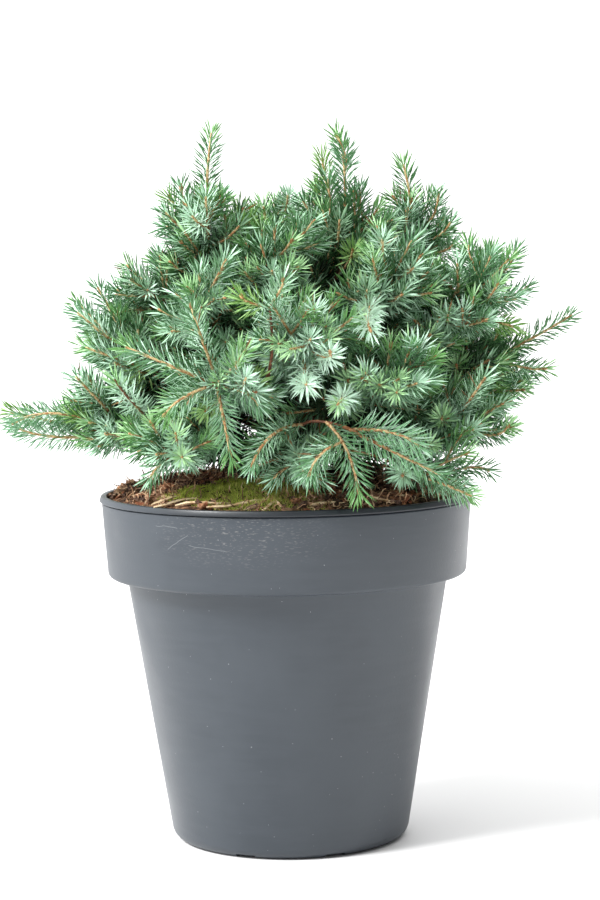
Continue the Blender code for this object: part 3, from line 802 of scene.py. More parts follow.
# %% Moss blades
BLADES = 9000
bm = bmesh.new()
bmesh.ops.create_cone(bm, segments=3, radius1=0.5, radius2=0, depth=1, cap_ends=True,
                      matrix=Matrix.Translation((0, 0, 0.5)))
blade = shape_of(bm)
across, along = chance.uniform(0.02, 0.98, BLADES), chance.uniform(0.02, 0.98, BLADES)
places = np.array([moss_point(a, b)[:] for a, b in zip(across, along)])
forward = np.stack([chance.normal(0, 0.5, BLADES), chance.normal(-0.1, 0.5, BLADES), np.ones(BLADES)], -1)
turns = turns_along(forward, chance.normal(0, 1, (BLADES, 3)))
length = chance.uniform(1.3, 3.2, BLADES) * MM
width = chance.uniform(0.35, 0.6, BLADES) * MM
points, triangles, _ = strewn(blade, places, turns, np.stack([width, width, length], -1))
dryness = across * 2.6 - 0.5 + chance.normal(0, 0.6, BLADES)
tones = np.clip(np.round(dryness), 0, 3).astype(int)
looks = np.repeat(tones, len(blade[1]))
moss_looks = []
for name, colour in (("moss_bright", (0.66, 0.74, 0.14)), ("moss_green", (0.38, 0.46, 0.08)),
                     ("moss_olive", (0.60, 0.50, 0.18)), ("moss_dry", (0.78, 0.58, 0.32))):
    made, tree, shader, point = new_material(name, 0.8, 0.2)
    mask = place(tree, blotches, Vector=point, Scale=260.0)["Mask"]
    tree.links.new(mixed(tree, mask, tuple(0.75 * c for c in colour), colour), shader.inputs["Base Color"])
    moss_looks.append(made)
finished("moss_blades", mesh_of("moss_blades", points, triangles, looks), moss_looks)

# %% [markdown]
# ## Trunk and boughs
#
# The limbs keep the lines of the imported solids. Each is drawn out ring by ring from one circle, as
# an extrude in the editor would be, and the bark's plates are then raised along the surface
# normals. A spruce's young bark is thin and scaly, so the plates are small and shallow, and they
# are larger on the trunk than on the boughs.

# %% Directions and curves, as in the source
TRUNK_TOP = 261 * MM
TRUNK_RADIUS = 7.6 * MM
TRUNK_TOP_RADIUS = 4.6 * MM
FLARE = 4.5 * MM
FLARE_HEIGHT = 9 * MM
FLARE_LOBES = 4
TRUNK_LEAN = Vector((-4, -1, 0)) * MM
TRUNK_BEND = 1.5
FORK_OFFSET = 2.9 * MM
FORK_SINK = 3 * MM
BOUGH_TAPER = 0.55
NEEDLE = 12.5 * MM
STEP = 8.5 * MM
CURVE_SAMPLES = 21


def direction(azimuth, rise):
    """A unit vector from its turn about the trunk and its rise, in degrees."""
    a, r = math.radians(azimuth), math.radians(rise)
    return Vector((math.cos(a) * math.cos(r), math.sin(a) * math.cos(r), math.sin(r)))


def frame_about(axis, around=None):
    """Two unit vectors square to the axis, the first as near to the given one as it can be."""
    start = around if around else (UP if abs(axis.z) < 0.9 else Vector((1, 0, 0)))
    first = (start - axis * start.dot(axis)).normalized()
    return first, axis.cross(first)


def trunk_share(height):
    return max(0, (height - SOIL_CROWN) / (TRUNK_TOP - SOIL_CROWN))


def trunk_point(height):
    return Vector((0, 0, height)) + TRUNK_LEAN * trunk_share(height) ** TRUNK_BEND


def spray_axis(spray):
    """The curve of one bough and its mass, from the trunk's middle to the last bud."""
    start = trunk_point(spray.root * MM)
    if spray.root * MM >= TRUNK_TOP:
        start += direction(spray.azimuth, 0) * FORK_OFFSET - UP * FORK_SINK
    tip = direction(spray.azimuth, 0) * spray.reach * MM + UP * spray.tip * MM
    tip -= (tip - start).normalized() * NEEDLE * 0.5
    bend = start + direction(spray.azimuth, spray.rise) * (tip - start).length * 0.5
    return start, bend, tip


def along(curve, share):
    start, bend, tip = curve
    return start * (1 - share) ** 2 + bend * 2 * share * (1 - share) + tip * share**2


def stretch(curve, first, last, count):
    """Even steps along part of a curve."""
    return [along(curve, first + (last - first) * i / (count - 1)) for i in range(count)]


# %% The same boughs as the source
# Lengths are in millimetres, and turns and rises in degrees. bare and last are shares of the curve.
Spray = namedtuple("Spray", "name root azimuth rise reach tip bare thick twigs last lift")
SPRAYS = (
    Spray("leader_left", 261, 212, 42, 47, 405, 0.34, 2.4, 3, 0.40, 0.35),
    Spray("leader_right", 261, 350, 50, 36, 399, 0.34, 2.4, 3, 0.40, 0.35),
    Spray("crown_back", 249, 97, 46, 38, 368, 0.30, 2.3, 5, 0.74, 0.30),
    Spray("crown_front", 252, 266, 46, 58, 350, 0.30, 2.2, 5, 0.74, 0.20),
    Spray("upper_right", 243, 14, 44, 92, 369, 0.33, 2.5, 5, 0.66, 0.25),
    Spray("upper_back_right", 241, 60, 42, 84, 355, 0.33, 2.4, 5, 0.74, 0.25),
    Spray("upper_back_left", 244, 132, 42, 92, 338, 0.33, 2.5, 5, 0.74, 0.25),
    Spray("upper_left", 251, 175, 38, 93, 330, 0.33, 2.5, 5, 0.60, 0.05),
    Spray("upper_front_left", 245, 234, 40, 92, 319, 0.33, 2.4, 5, 0.74, 0.10),
    Spray("upper_front", 241, 277, 26, 124, 290, 0.33, 2.5, 5, 0.74, 0.05),
    Spray("upper_front_right", 249, 322, 38, 100, 334, 0.33, 2.5, 5, 0.74, 0.20),
    Spray("mid_right", 234, 343, 24, 135, 331, 0.42, 2.9, 5, 0.60, 0.25),
    Spray("mid_right_long", 225, 1, 16, 168, 297, 0.42, 2.9, 4, 0.30, 0.10),
    Spray("mid_back_right", 233, 38, 26, 130, 305, 0.36, 2.8, 5, 0.74, 0.15),
    Spray("mid_back", 228, 88, 24, 128, 299, 0.36, 2.8, 5, 0.74, 0.15),
    Spray("mid_back_left", 235, 150, 24, 128, 297, 0.36, 2.8, 5, 0.74, 0.15),
    Spray("mid_left", 228, 199, 24, 118, 292, 0.36, 2.8, 5, 0.70, 0.10),
    Spray("mid_front_left", 233, 251, 16, 118, 267, 0.36, 2.8, 5, 0.74, 0.00),
    Spray("mid_front_right", 230, 303, 18, 134, 265, 0.36, 2.8, 5, 0.70, 0.05),
    Spray("low_right", 217, 18, 6, 155, 262, 0.38, 3.0, 5, 0.60, 0.05),
    Spray("low_front_right", 221, 335, 4, 142, 237, 0.38, 3.0, 5, 0.48, 0.05),
    Spray("low_front_droop", 214, 317, 8, 141, 202, 0.38, 2.9, 5, 0.60, -0.20),
    Spray("low_front", 221, 275, 8, 114, 219, 0.38, 2.8, 5, 0.74, -0.10),
    Spray("low_front_left", 217, 232, 8, 116, 227, 0.38, 2.8, 5, 0.74, 0.00),
    Spray("low_left_long", 221, 190, 4, 161, 247, 0.42, 3.0, 4, 0.28, 0.00),
    Spray("low_back_left", 217, 138, 6, 136, 233, 0.38, 2.9, 5, 0.74, 0.00),
    Spray("low_back_right", 219, 72, 6, 138, 229, 0.38, 2.9, 5, 0.74, 0.00),
)
print(len(SPRAYS), "boughs, each with its mass of shoots")

# %% Limbs drawn out ring by ring
PLATE_SQUASH = 0.45


def draw_limb(bm, points, radii, sides, flare=None):
    """Extrudes a circle along the points and closes both ends."""
    circle = bmesh.ops.create_circle(bm, segments=sides, radius=1, cap_ends=True)["verts"]
    foot = circle[0].link_faces[0]
    grown = bmesh.ops.extrude_face_region(bm, geom=[foot], use_keep_orig=True)["geom"]
    rings = [list(foot.verts)]
    face = next(item for item in grown if isinstance(item, bmesh.types.BMFace))
    rings.append(list(face.verts))
    for _ in points[2:]:
        grown = bmesh.ops.extrude_face_region(bm, geom=[face])["geom"]
        face = next(item for item in grown if isinstance(item, bmesh.types.BMFace))
        rings.append(list(face.verts))
    around = None
    for i, (point, ring) in enumerate(zip(points, rings)):
        axis = (points[min(i + 1, len(points) - 1)] - points[max(i - 1, 0)]).normalized()
        first, second = frame_about(axis, around)
        around = first
        for k, vert in enumerate(ring):
            angle = math.tau * k / sides
            radius = radii[i] + (flare(point, angle) if flare else 0)
            vert.co = point + radius * (first * math.cos(angle) + second * math.sin(angle))


def root_flare(point, angle):
    height = point.z - SOIL_CROWN
    lobe = 0.6 + 0.4 * math.cos(FLARE_LOBES * angle + 0.6)
    return FLARE * lobe * math.exp(-max(0, height) / FLARE_HEIGHT)


def raise_bark(bm, depth, plate):
    """Pushes bark plates out along the normals, with sharp valleys between them."""
    bmesh.ops.recalc_face_normals(bm, faces=bm.faces[:])
    bm.normal_update()
    for vert in bm.verts:
        seat = Vector((vert.co.x, vert.co.y, vert.co.z * PLATE_SQUASH)) / plate
        vert.co += vert.normal * depth * (noise.ridged_multi_fractal(seat, 0.9, 2.0, 3, 1.0, 2.0) - 1.1)


# %% Trunk
TRUNK_STEPS = 40
bm = bmesh.new()
heights = [SOIL_CROWN + (TRUNK_TOP - SOIL_CROWN) * (i / TRUNK_STEPS) for i in range(TRUNK_STEPS + 1)]
points = [trunk_point(height) for height in heights]
radii = [TRUNK_RADIUS + (TRUNK_TOP_RADIUS - TRUNK_RADIUS) * trunk_share(height) for height in heights]
draw_limb(bm, points, radii, 32, root_flare)
raise_bark(bm, depth=0.35 * MM, plate=3 * MM)
print("trunk:", len(bm.faces), "faces")

# %% Bark material
BARK_DARK = (0.085, 0.037, 0.020)
BARK_RED = (0.24, 0.105, 0.055)
BARK_GREY = (0.26, 0.20, 0.15)
bark, tree, shader, point = new_material("spruce_bark", 0.85, 0.25)
scales = place(tree, blotches, Vector=point, Scale=160.0, Detail=4.0)["Mask"]
weathered = place(tree, blotches, Vector=point, Scale=90.0, Detail=5.0, From=0.55, To=0.7)["Mask"]
colour = mixed(tree, weathered, mixed(tree, scales, BARK_DARK, BARK_RED), BARK_GREY)
tree.links.new(colour, shader.inputs["Base Color"])
plates = add(tree, "TexVoronoi", {"feature": "DISTANCE_TO_EDGE"}, Vector=point, Scale=420.0)
raised(tree, shader, plates.outputs["Distance"], 0.7, 0.8 * MM)
finished("trunk_bark", mesh_from(bm, "trunk_bark", 70), [bark], ["trunk"])

# %% Boughs
BOUGH_STEPS = 26
COLLAR_SWELL = 0.35
bm = bmesh.new()
for spray in SPRAYS:
    shares = [i / (BOUGH_STEPS - 1) for i in range(BOUGH_STEPS)]
    points = stretch(spray_axis(spray), 0.02, spray.bare + 0.01, BOUGH_STEPS)
    radii = [spray.thick * MM * (1 + (BOUGH_TAPER - 1) * share) * (1 + COLLAR_SWELL * math.exp(-share * 9))
             for share in shares]
    limb = bmesh.new()
    draw_limb(limb, points, radii, 14)
    raise_bark(limb, depth=0.22 * MM, plate=2.2 * MM)
    scrap = mesh_from(limb, "scrap")
    bm.from_mesh(scrap)
    bpy.data.meshes.remove(scrap)
finished("bough_bark", mesh_from(bm, "bough_bark", 70), [bark],
         ["bough_" + spray.name for spray in SPRAYS])

# %% [markdown]
# ## Keeping clear
#
# A shoot stops where it would touch another limb, the pot, the soil or the moss. It may lean a few
# millimetres into the next mass's space, as real shoots do, so that no seam shows between masses.
# The tests run on arrays, since there are many thousands of points to try.

# %% Room round the limbs and over the pot
MIX_IN = 7 * MM
ABOVE_SOIL = 12 * MM
SPACE_MARGIN = 0.5 * MM
LIMB_GAP = 1.5 * MM
MOSS_ROOM = 4 * MM


def rows_of(points):
    """Vectors as an array, one row for each."""
    return np.array([point[:] for point in points])


def nearest_pair(a, b, c, d):
    """The nearest points of two straight stretches, a to b and c to d."""
    best = None
    ab, cd = b - a, d - c
    for i in range(CURVE_SAMPLES):
        p = a.lerp(b, i / (CURVE_SAMPLES - 1))
        q = c + cd * min(1, max(0, (p - c).dot(cd) / cd.length_squared))
        p = a + ab * min(1, max(0, (q - a).dot(ab) / ab.length_squared))
        if best is None or (p - q).length < (best[0] - best[1]).length:
            best = (p, q)
    return best


def own_space(spray):
    """The planes that bound one mass, halfway to each other mass, as points and normals."""
    curve = spray_axis(spray)
    root, tip = along(curve, spray.bare), along(curve, 1)
    middles, normals = [], []
    for other in SPRAYS:
        if other is not spray:
            rival = spray_axis(other)
            mine, theirs = nearest_pair(root, tip, along(rival, other.bare), along(rival, 1))
            middles.append((mine + theirs) / 2)
            normals.append((mine - theirs).normalized())
    return rows_of(middles), rows_of(normals)


limb_rows = [("", trunk_point(SOIL_CROWN), trunk_point(TRUNK_TOP), TRUNK_RADIUS)]
for spray in SPRAYS:
    bough = stretch(spray_axis(spray), 0, spray.bare, 4)
    limb_rows += [(spray.name, start, end, spray.thick * MM) for start, end in zip(bough, bough[1:])]
limb_owner = np.array([name for name, _, _, _ in limb_rows])
limb_start = rows_of(start for _, start, _, _ in limb_rows)
limb_line = rows_of(end - start for _, start, end, _ in limb_rows)
limb_radius = np.array([radius for _, _, _, radius in limb_rows])


def limb_room(points, owner=None):
    """How far each point is from the nearest limb's bark, leaving out the owner's own bough."""
    kept = limb_owner != owner if owner else np.ones(len(limb_owner), bool)
    start, line, radius = limb_start[kept], limb_line[kept], limb_radius[kept]
    away = points[:, None, :] - start[None]
    share = np.clip((away * line[None]).sum(-1) / (line**2).sum(-1)[None], 0, 1)
    return (np.linalg.norm(away - share[..., None] * line[None], axis=-1) - radius[None]).min(1)


def pot_room(points):
    """How far each point is from the rim or above the soil and moss, below zero inside them."""
    radius = np.hypot(points[:, 0], points[:, 1])
    over = points[:, 2] - np.where(radius < BAND_TOP_RADIUS - WALL, heap(radius) + MOSS_ROOM, POT_HEIGHT)
    return np.maximum(over, radius - RIM_RADIUS)


def kept_count(points, space, owner):
    """How many points of a line a twig can follow before it would leave its space or touch."""
    good = (pot_room(points) > ABOVE_SOIL) & (limb_room(points, owner) > LIMB_GAP)
    if space:
        middles, normals = space
        good &= ((points[:, None] - middles[None]) * normals[None]).sum(-1).min(1) > SPACE_MARGIN - MIX_IN
    good[:2] = True
    return int(np.argmin(good)) if not good.all() else len(points)


print(len(limb_radius), "stretches of limb to keep clear of")

# %% [markdown]
# ## Shoots
#
# Spruce builds itself from yearly shoots. Side twigs leave the stem at about fifty degrees, each
# turned 137.5 degrees on from the last, and they are shorter towards the tip. The source grows
# three to five such twigs in each mass. Here the same ones come first, from the same seeded
# numbers, and then the rule goes on: shorter twigs between them, and finer ones on each of those.

# %% The source's twigs, then finer ones
OLD_TWIG = 46 * MM
YOUNG_TWIG = 27 * MM
FIRST_TWIG = 0.10
TWIG_ANGLE = 50
TWIG_ANGLE_SPREAD = 7
TURN_SPREAD = 14
TWIG_BEND = 1.6
STEEPEST_FALL = -0.2
FINE_STEP = 5 * MM
SHORTEST = 9 * MM
STEM_SPACING = 5.6 * MM
TWIG_SPACING = 7.5 * MM
LONGEST_FINE = 33 * MM
CLEAN_END = 12 * MM
STEM_CLEAN_SHARE = 0.14
FINE_LENGTH = 8.5 * MM
FINE_PER_LENGTH = 0.62

Shoot = namedtuple("Shoot", "line tone")
shoots = []


def twig_line(start, heading, length, lift):
    """A twig that bends a little towards the light, or hangs."""
    count = max(3, round(length / FINE_STEP))
    points = [start.copy()]
    heading = heading.copy()
    for _ in range(count):
        heading = (heading + UP * lift * TWIG_BEND / count).normalized()
        points.append(points[-1] + heading * length / count)
    return rows_of(points)


def off_axis(axis_points, at, turn, spread):
    """The way a side twig takes off at one point of an axis."""
    heading = (axis_points[at] - axis_points[at - 1]).normalized()
    first, second = frame_about(heading)
    out = first * math.cos(turn) + second * math.sin(turn)
    return heading * math.cos(spread) + out * math.sin(spread)


def towards_light(spray, heading):
    """A twig that would grow straight down turns up and out instead, but for those of a hanging mass."""
    if heading.z < STEEPEST_FALL and spray.lift >= 0:
        heading.z /= -2
    return heading.normalized()


def line_length(line):
    return float(np.linalg.norm(np.diff(line, axis=0), axis=1).sum())


def grow(spray, start, heading, length, tone, inside=False):
    """Adds one shoot if it has room, and returns its line or None. An inner one keeps to no space."""
    line = twig_line(start, heading, length, spray.lift)
    line = line[:kept_count(line, None if inside else spaces[spray.name], spray.name)]
    if len(line) < 3 or line_length(line) < SHORTEST:
        return None
    shoots.append(Shoot(line, tone))
    return line


def finer(spray, rule, line, spacing, tone, last=1.0, inside=False):
    """Shorter twigs up a line, each a golden turn on from the last. An outer line's end stays clean."""
    points = [Vector(point) for point in line]
    whole = line_length(line)
    step = whole / (len(points) - 1)
    turn = rule.uniform(0, 360)
    grown = []
    place_at = spacing * rule.uniform(0.7, 1.0)
    while place_at < min(whole - (0 if inside else CLEAN_END), last * whole):
        at = min(len(points) - 1, max(1, round(place_at / step)))
        turn += GOLDEN_TURN + rule.uniform(-TURN_SPREAD, TURN_SPREAD)
        spread = math.radians(TWIG_ANGLE + rule.uniform(-TWIG_ANGLE_SPREAD, TWIG_ANGLE_SPREAD))
        length = min(LONGEST_FINE, FINE_LENGTH + FINE_PER_LENGTH * (whole - place_at))
        length *= rule.uniform(0.82, 1.12)
        heading = towards_light(spray, off_axis(points, at, math.radians(turn), spread))
        made = grow(spray, points[at], heading, length, tone + rule.uniform(-0.5, 0.5), inside)
        if made is not None:
            grown.append(made)
        place_at += spacing * rule.uniform(0.85, 1.15)
    return grown


def grow_mass(spray):
    """The source's twigs of one mass first, then the finer ones."""
    curve = spray_axis(spray)
    trial = stretch(curve, spray.bare, 1, CURVE_SAMPLES)
    length = sum((b - a).length for a, b in zip(trial, trial[1:]))
    steps = max(3, round(length / STEP) + 1)
    axis_points = stretch(curve, spray.bare, 1, steps)
    stem = rows_of(stretch(curve, spray.bare - 0.02, 1, 2 * steps))
    rule = random.Random(f"{spray.name}-{SEED}")
    turn = rule.uniform(0, 360)
    rows = []
    for k in range(spray.twigs):
        share = FIRST_TWIG + (spray.last - FIRST_TWIG) * k / (spray.twigs - 1)
        at = max(1, round(share * (len(axis_points) - 1)))
        angle = math.radians(turn + GOLDEN_TURN * k + rule.uniform(-TURN_SPREAD, TURN_SPREAD))
        spread = math.radians(TWIG_ANGLE + rule.uniform(-TWIG_ANGLE_SPREAD, TWIG_ANGLE_SPREAD))
        reach = (OLD_TWIG + (YOUNG_TWIG - OLD_TWIG) * share) * rule.uniform(0.9, 1.1)
        rows.append((axis_points[at], towards_light(spray, off_axis(axis_points, at, angle, spread)), reach))
    tone = rule.uniform(-0.6, 0.6)
    shoots.append(Shoot(stem, tone))
    for start, heading, reach in rows:
        line = grow(spray, start, heading, reach, tone + rule.uniform(-0.5, 0.5))
        if line is not None:
            finer(spray, rule, line, TWIG_SPACING, tone)
    for line in finer(spray, rule, stem, STEM_SPACING, tone, spray.last + STEM_CLEAN_SHARE):
        finer(spray, rule, line, 1.25 * TWIG_SPACING, tone)


spaces = {spray.name: own_space(spray) for spray in SPRAYS}
for spray in SPRAYS:
    grow_mass(spray)

# %% [markdown]
# Inside the crown the boughs are not bare either. Short old twigs stand on them and close the view through
# the plant, and their needles are dealt a dark tone as painted shade.

# %% Old twigs on the boughs
INNER_FROM = 0.10
INNER_SPACING = 6 * MM
# Painted shade: the needles of the inner twigs are dealt this low tone, so they come out dark.
INNER_SHADE_TONE = -1.4
for spray in SPRAYS:
    bough = rows_of(stretch(spray_axis(spray), INNER_FROM, spray.bare, 12))
    finer(spray, random.Random(f"inner-{spray.name}-{SEED}"), bough, INNER_SPACING, INNER_SHADE_TONE, inside=True)
print(len(shoots), "shoots,", round(sum(line_length(shoot.line) for shoot in shoots), 1), "m of them")

# %% [markdown]
# ## Shoots that stand out
#
# Some shoots give this plant its look: the side shoots of the left leader, the star of shoots at
# the front left, the red-brown twig across the front with shoots hanging from it, the long pair on
# the left. Each has a row that says which bough or earlier shoot carries it, about where it
# leaves that, how it bows, where it ends, how much of its foot is bare and how pale its needles
# are. Its foot is moved to the nearest point of what carries it, so it is attached from every side.

# %% Rows of standing-out shoots, in millimetres
TUFT_ROOM = 4 * MM
Accent = namedtuple("Accent", "name carrier near bow tip bare tone")
ACCENTS = (
    Accent("leader_whorl_a", "leader_left", (-42, -22, 338), (-4, 0, 3), (-69, -22, 349), 0, 0.3),
    Accent("leader_whorl_b", "leader_left", (-40, -22, 347), (-3, 0, -3), (-58, -24, 373), 0, 0.0),
    Accent("leader_whorl_c", "leader_left", (-40, -22, 333), (3, -2, -3), (-30, -42, 355), 0, 0.8),
    Accent("leader_whorl_d", "leader_left", (-40, -22, 335), (3, 0, -3), (-22, -10, 361), 0, 0.0),
    Accent("leader_whorl_e", "leader_left", (-38, -20, 321), (-2, 0, -2), (-58, -30, 341), 0, 0.2),
    Accent("leader_right_top", "leader_right", (36, -8, 378), (3, 0, -3), (30, -9, 402), 0, 0.0),
    Accent("leader_right_side", "leader_right", (26, -4, 340), (3, 0, -2), (45, -4, 371), 0, 0.2),
    Accent("crown_tuft", "crown_back", (-2, 20, 345), (2, 0, 0), (4, 2, 367), 0, 0.3),
    Accent("left_shoulder", "mid_left", (-72, -22, 288), (-2, 2, 4), (-106, -10, 318), 6, 0.2),
    Accent("left_shoulder_low", "mid_left", (-80, -26, 284), (-2, 0, 3), (-117, -28, 309), 6, 0.2),
    Accent("budding_top", "leader_right", (20, -4, 343), (-2, 0, 2), (22, 8, 390), 22, -3.0),
    Accent("right_top_a", "upper_right", (62, 14, 348), (2, 0, -2), (69, 18, 386), 0, 0.0),
    Accent("right_top_b", "upper_right", (70, 15, 345), (3, 0, -3), (91, 10, 367), 0, 0.0),
    Accent("right_top_c", "upper_right", (66, 14, 339), (3, 0, -3), (98, 0, 350), 0, 0.0),
    Accent("right_gap", "upper_right", (72, 14, 332), (3, 0, -3), (99, -6, 336), 0, 0.0),
    Accent("right_bough", "mid_right", (80, -28, 271), (4, 0, -3), (114, -30, 315), 30, 0.0),
    Accent("right_bough_a", "right_bough", (114, -30, 315), (2, 0, -2), (132, -28, 335), 0, 0.0),
    Accent("right_bough_e", "right_bough", (110, -30, 306), (1, 0, -1), (118, -18, 335), 0, 0.2),
    Accent("right_bough_b", "right_bough", (112, -30, 311), (-2, 0, 2), (102, -24, 339), 0, 0.0),
    Accent("right_bough_c", "right_bough", (110, -30, 303), (2, 0, -2), (139, -30, 313), 0, 0.3),
    Accent("right_bough_d", "right_bough", (98, -30, 291), (2, -2, 1), (130, -42, 290), 0, -0.3),
    Accent("right_long_side", "mid_right_long", (118, -2, 271), (2, 0, -2), (150, -12, 265), 0, -0.4),
    Accent("right_low_a", "low_front_right", (86, -44, 239), (2, -2, 3), (110, -72, 267), 0, 0.3),
    Accent("right_low_b", "low_front_right", (92, -44, 239), (2, 0, 2), (120, -66, 251), 0, 0.0),
    Accent("right_low_c", "low_front_right", (100, -48, 237), (3, 0, -3), (124, -66, 238), 0, -0.3),
    Accent("front_star_a", "mid_front_left", (-34, -98, 265), (-4, -4, 2), (-86, -104, 286), 3, 0.2),
    Accent("front_star_b", "mid_front_left", (-33, -97, 265), (-1, -4, 2), (-49, -106, 309), 3, 0.0),
    Accent("front_star_c", "mid_front_left", (-35, -100, 265), (3, -4, 2), (-10, -118, 252), 2, 0.3),
    Accent("front_star_d", "mid_front_left", (-36, -102, 265), (0, -6, 2), (-27, -115, 222), 2, 0.6),
    Accent("front_star_e", "mid_front_left", (-36, -102, 265), (-2, -4, 2), (-65, -118, 248), 2, 0.0),
    Accent("front_star_f", "mid_front_left", (-35, -100, 265), (2, -4, 2), (-18, -120, 284), 2, 0.5),
    Accent("front_twig", "low_front", (2, -58, 233), (-10, -8, 10), (38, -114, 241), 200, 0.0),
    Accent("hanging_a", "front_twig", (0, -90, 247), (-2, -4, 6), (-20, -119, 220), 2, 0.0),
    Accent("hanging_c", "front_twig", (22, -106, 244), (2, -4, 5), (40, -115, 203), 2, -0.2),
    Accent("hanging_b", "hanging_c", (26, -112, 231), (-2, -3, 3), (10, -119, 215), 2, 0.0),
    Accent("hanging_d", "front_twig", (30, -110, 242), (0, -4, 0), (84, -122, 215), 2, 0.2),
    Accent("hanging_e", "front_twig", (38, -114, 241), (3, -3, 3), (73, -128, 231), 2, 0.6),
    Accent("upright_twig", "mid_front_left", (-14, -60, 253), (6, -20, -8), (-6, -108, 307), 200, 0.0),
    Accent("upright_a", "upright_twig", (-6, -108, 303), (-3, -3, 0), (-24, -118, 311), 0, 0.6),
    Accent("upright_b", "upright_twig", (-6, -108, 307), (2, -3, 2), (2, -120, 321), 0, -0.3),
    Accent("end_on_a", "upper_front", (10, -86, 287), (2, 0, 4), (17, -116, 306), 0, 1.6),
    Accent("end_on_b", "upper_front", (10, -92, 286), (0, 0, -5), (12, -131, 263), 0, 1.6),
    Accent("end_on_c", "upper_front", (12, -100, 287), (4, 0, -4), (26, -130, 281), 0, 1.8),
    Accent("end_on_d", "mid_front_right", (38, -60, 253), (0, -6, 4), (27, -128, 254), 18, 1.4),
    Accent("end_on_e", "upper_front_right", (56, -46, 303), (-4, -6, 2), (45, -118, 291), 18, 1.0),
    Accent("end_on_f", "mid_front_right", (52, -78, 259), (8, 0, 4), (72, -98, 286), 0, 0.8),
    Accent("left_fan_a", "mid_left", (-72, -24, 273), (-2, -8, 2), (-115, -52, 304), 8, 0.2),
    Accent("left_fan_b", "mid_left", (-68, -24, 269), (-2, -10, 2), (-110, -62, 284), 8, 0.2),
    Accent("left_fan_c", "low_left_long", (-84, -18, 241), (-2, -6, 3), (-116, -50, 269), 6, 0.0),
    Accent("left_fan_d", "low_left_long", (-62, -14, 235), (-4, -14, 4), (-92, -80, 268), 30, 0.0),
    Accent("left_pair_low", "low_left_long", (-92, -18, 241), (-3, -7, -3), (-152, -36, 238), 6, 0.2),
    Accent("left_pair_high", "low_left_long", (-86, -18, 241), (-4, -8, 9), (-154, -36, 241), 6, 0.4),
    Accent("left_low_a", "low_front_left", (-52, -66, 219), (-2, -2, 3), (-75, -85, 212), 4, -0.8),
    Accent("left_low_b", "low_front_left", (-50, -60, 219), (-3, 0, 3), (-84, -60, 226), 4, 0.0),
    # The inner_low shoots below are dealt low tones, so their needles are painted dark: painted shade deep
    # in the crown.
    Accent("inner_low_d", "low_back_right", (36, 44, 228), (2, 0, -2), (58, 18, 232), 0, -1.5),
    Accent("inner_low_e", "low_right", (70, 8, 226), (0, 0, -3), (48, -24, 226), 0, -1.5),
    Accent("inner_low_f", "low_right", (84, 20, 230), (0, 0, -3), (72, -26, 227), 0, -1.5),
    Accent("inner_low_g", "low_front_left", (-36, -44, 224), (0, 0, -3), (-18, -76, 223), 0, -1.0),
    Accent("inner_low_a", "low_front", (16, -44, 232), (2, 0, 2), (52, -78, 223), 0, -1.0),
    Accent("inner_low_b", "low_front_right", (46, -34, 226), (0, 0, -3), (28, -62, 221), 0, -1.5),
    Accent("inner_low_c", "low_front_right", (60, -40, 230), (0, 0, -3), (66, -72, 222), 0, -1.5),
    Accent("droop_side", "low_front_droop", (72, -80, 217), (3, -2, 4), (114, -70, 214), 4, -0.3),
)


def accent_line(accent, carrier):
    """A bowed line from the nearest point of what carries it to just short of its tip."""
    nearest = carrier[np.argmin(np.linalg.norm(carrier - np.array(accent.near) * MM, axis=1))]
    tip = np.array(accent.tip) * MM
    bend = (nearest + tip) / 2 + 2 * np.array(accent.bow) * MM
    tip = tip - unit(tip - nearest) * TUFT_ROOM
    count = max(5, round(np.linalg.norm(tip - nearest) / FINE_STEP))
    share = np.linspace(0, 1, count + 1)[:, None]
    return nearest * (1 - share) ** 2 + bend * 2 * share * (1 - share) + tip * share**2


carriers = {spray.name: rows_of(stretch(spray_axis(spray), 0.8 * spray.bare, 1, 80)) for spray in SPRAYS}
bare_lengths = {}
for accent in ACCENTS:
    line = accent_line(accent, carriers[accent.carrier])
    carriers[accent.name] = line
    bare_lengths[len(shoots)] = accent.bare * MM
    shoots.append(Shoot(line, accent.tone))
print(len(shoots), "shoots with those that stand out")

# %% [markdown]
# ### Twigs
#
# A shoot's bark tells its age. The last year's growth is tan, the year before is orange-brown, and
# older wood is red-brown and thicker. Each of the three is flecked with darker scars and is given to
# a stretch of twig by how far that is from the tip.

# %% Twig bark
TIP_RADIUS = 0.65 * MM
GIRTH_PER_LENGTH = 0.0075
THICKENS_UP_TO = 110 * MM
YEAR = 30 * MM
OLD_WOOD = 25 * MM
OLDEST = 2


def from_tip(line):
    """How far each point of a line is from its tip, along the line."""
    steps = np.linalg.norm(np.diff(line, axis=0), axis=1)
    return np.concatenate([np.cumsum(steps[::-1])[::-1], [0]])


lines = [shoot.line for shoot in shoots]
distances = [from_tip(line) for line in lines]
radii = [TIP_RADIUS + GIRTH_PER_LENGTH * np.minimum(distance, THICKENS_UP_TO) for distance in distances]
ages = [np.clip((distance[:-1] + chance.uniform(-8, 8) * MM) / YEAR - 0.35, 0, OLDEST).astype(int)
        for distance in distances]
for number, bare in bare_lengths.items():
    if bare > OLD_WOOD:
        ages[number][distances[number][:-1] < bare] = OLDEST
points, triangles, looks = sleeves(lines, radii, 5, ages)


def uneven_gloss(tree, shader, point, scale, low, high):
    """Roughness that varies in soft patches between two values."""
    mask = place(tree, blotches, Vector=point, Scale=scale)["Mask"]
    spread = add(tree, "MapRange", Value=mask, To_Min=low, To_Max=high)
    tree.links.new(spread.outputs[0], shader.inputs["Roughness"])


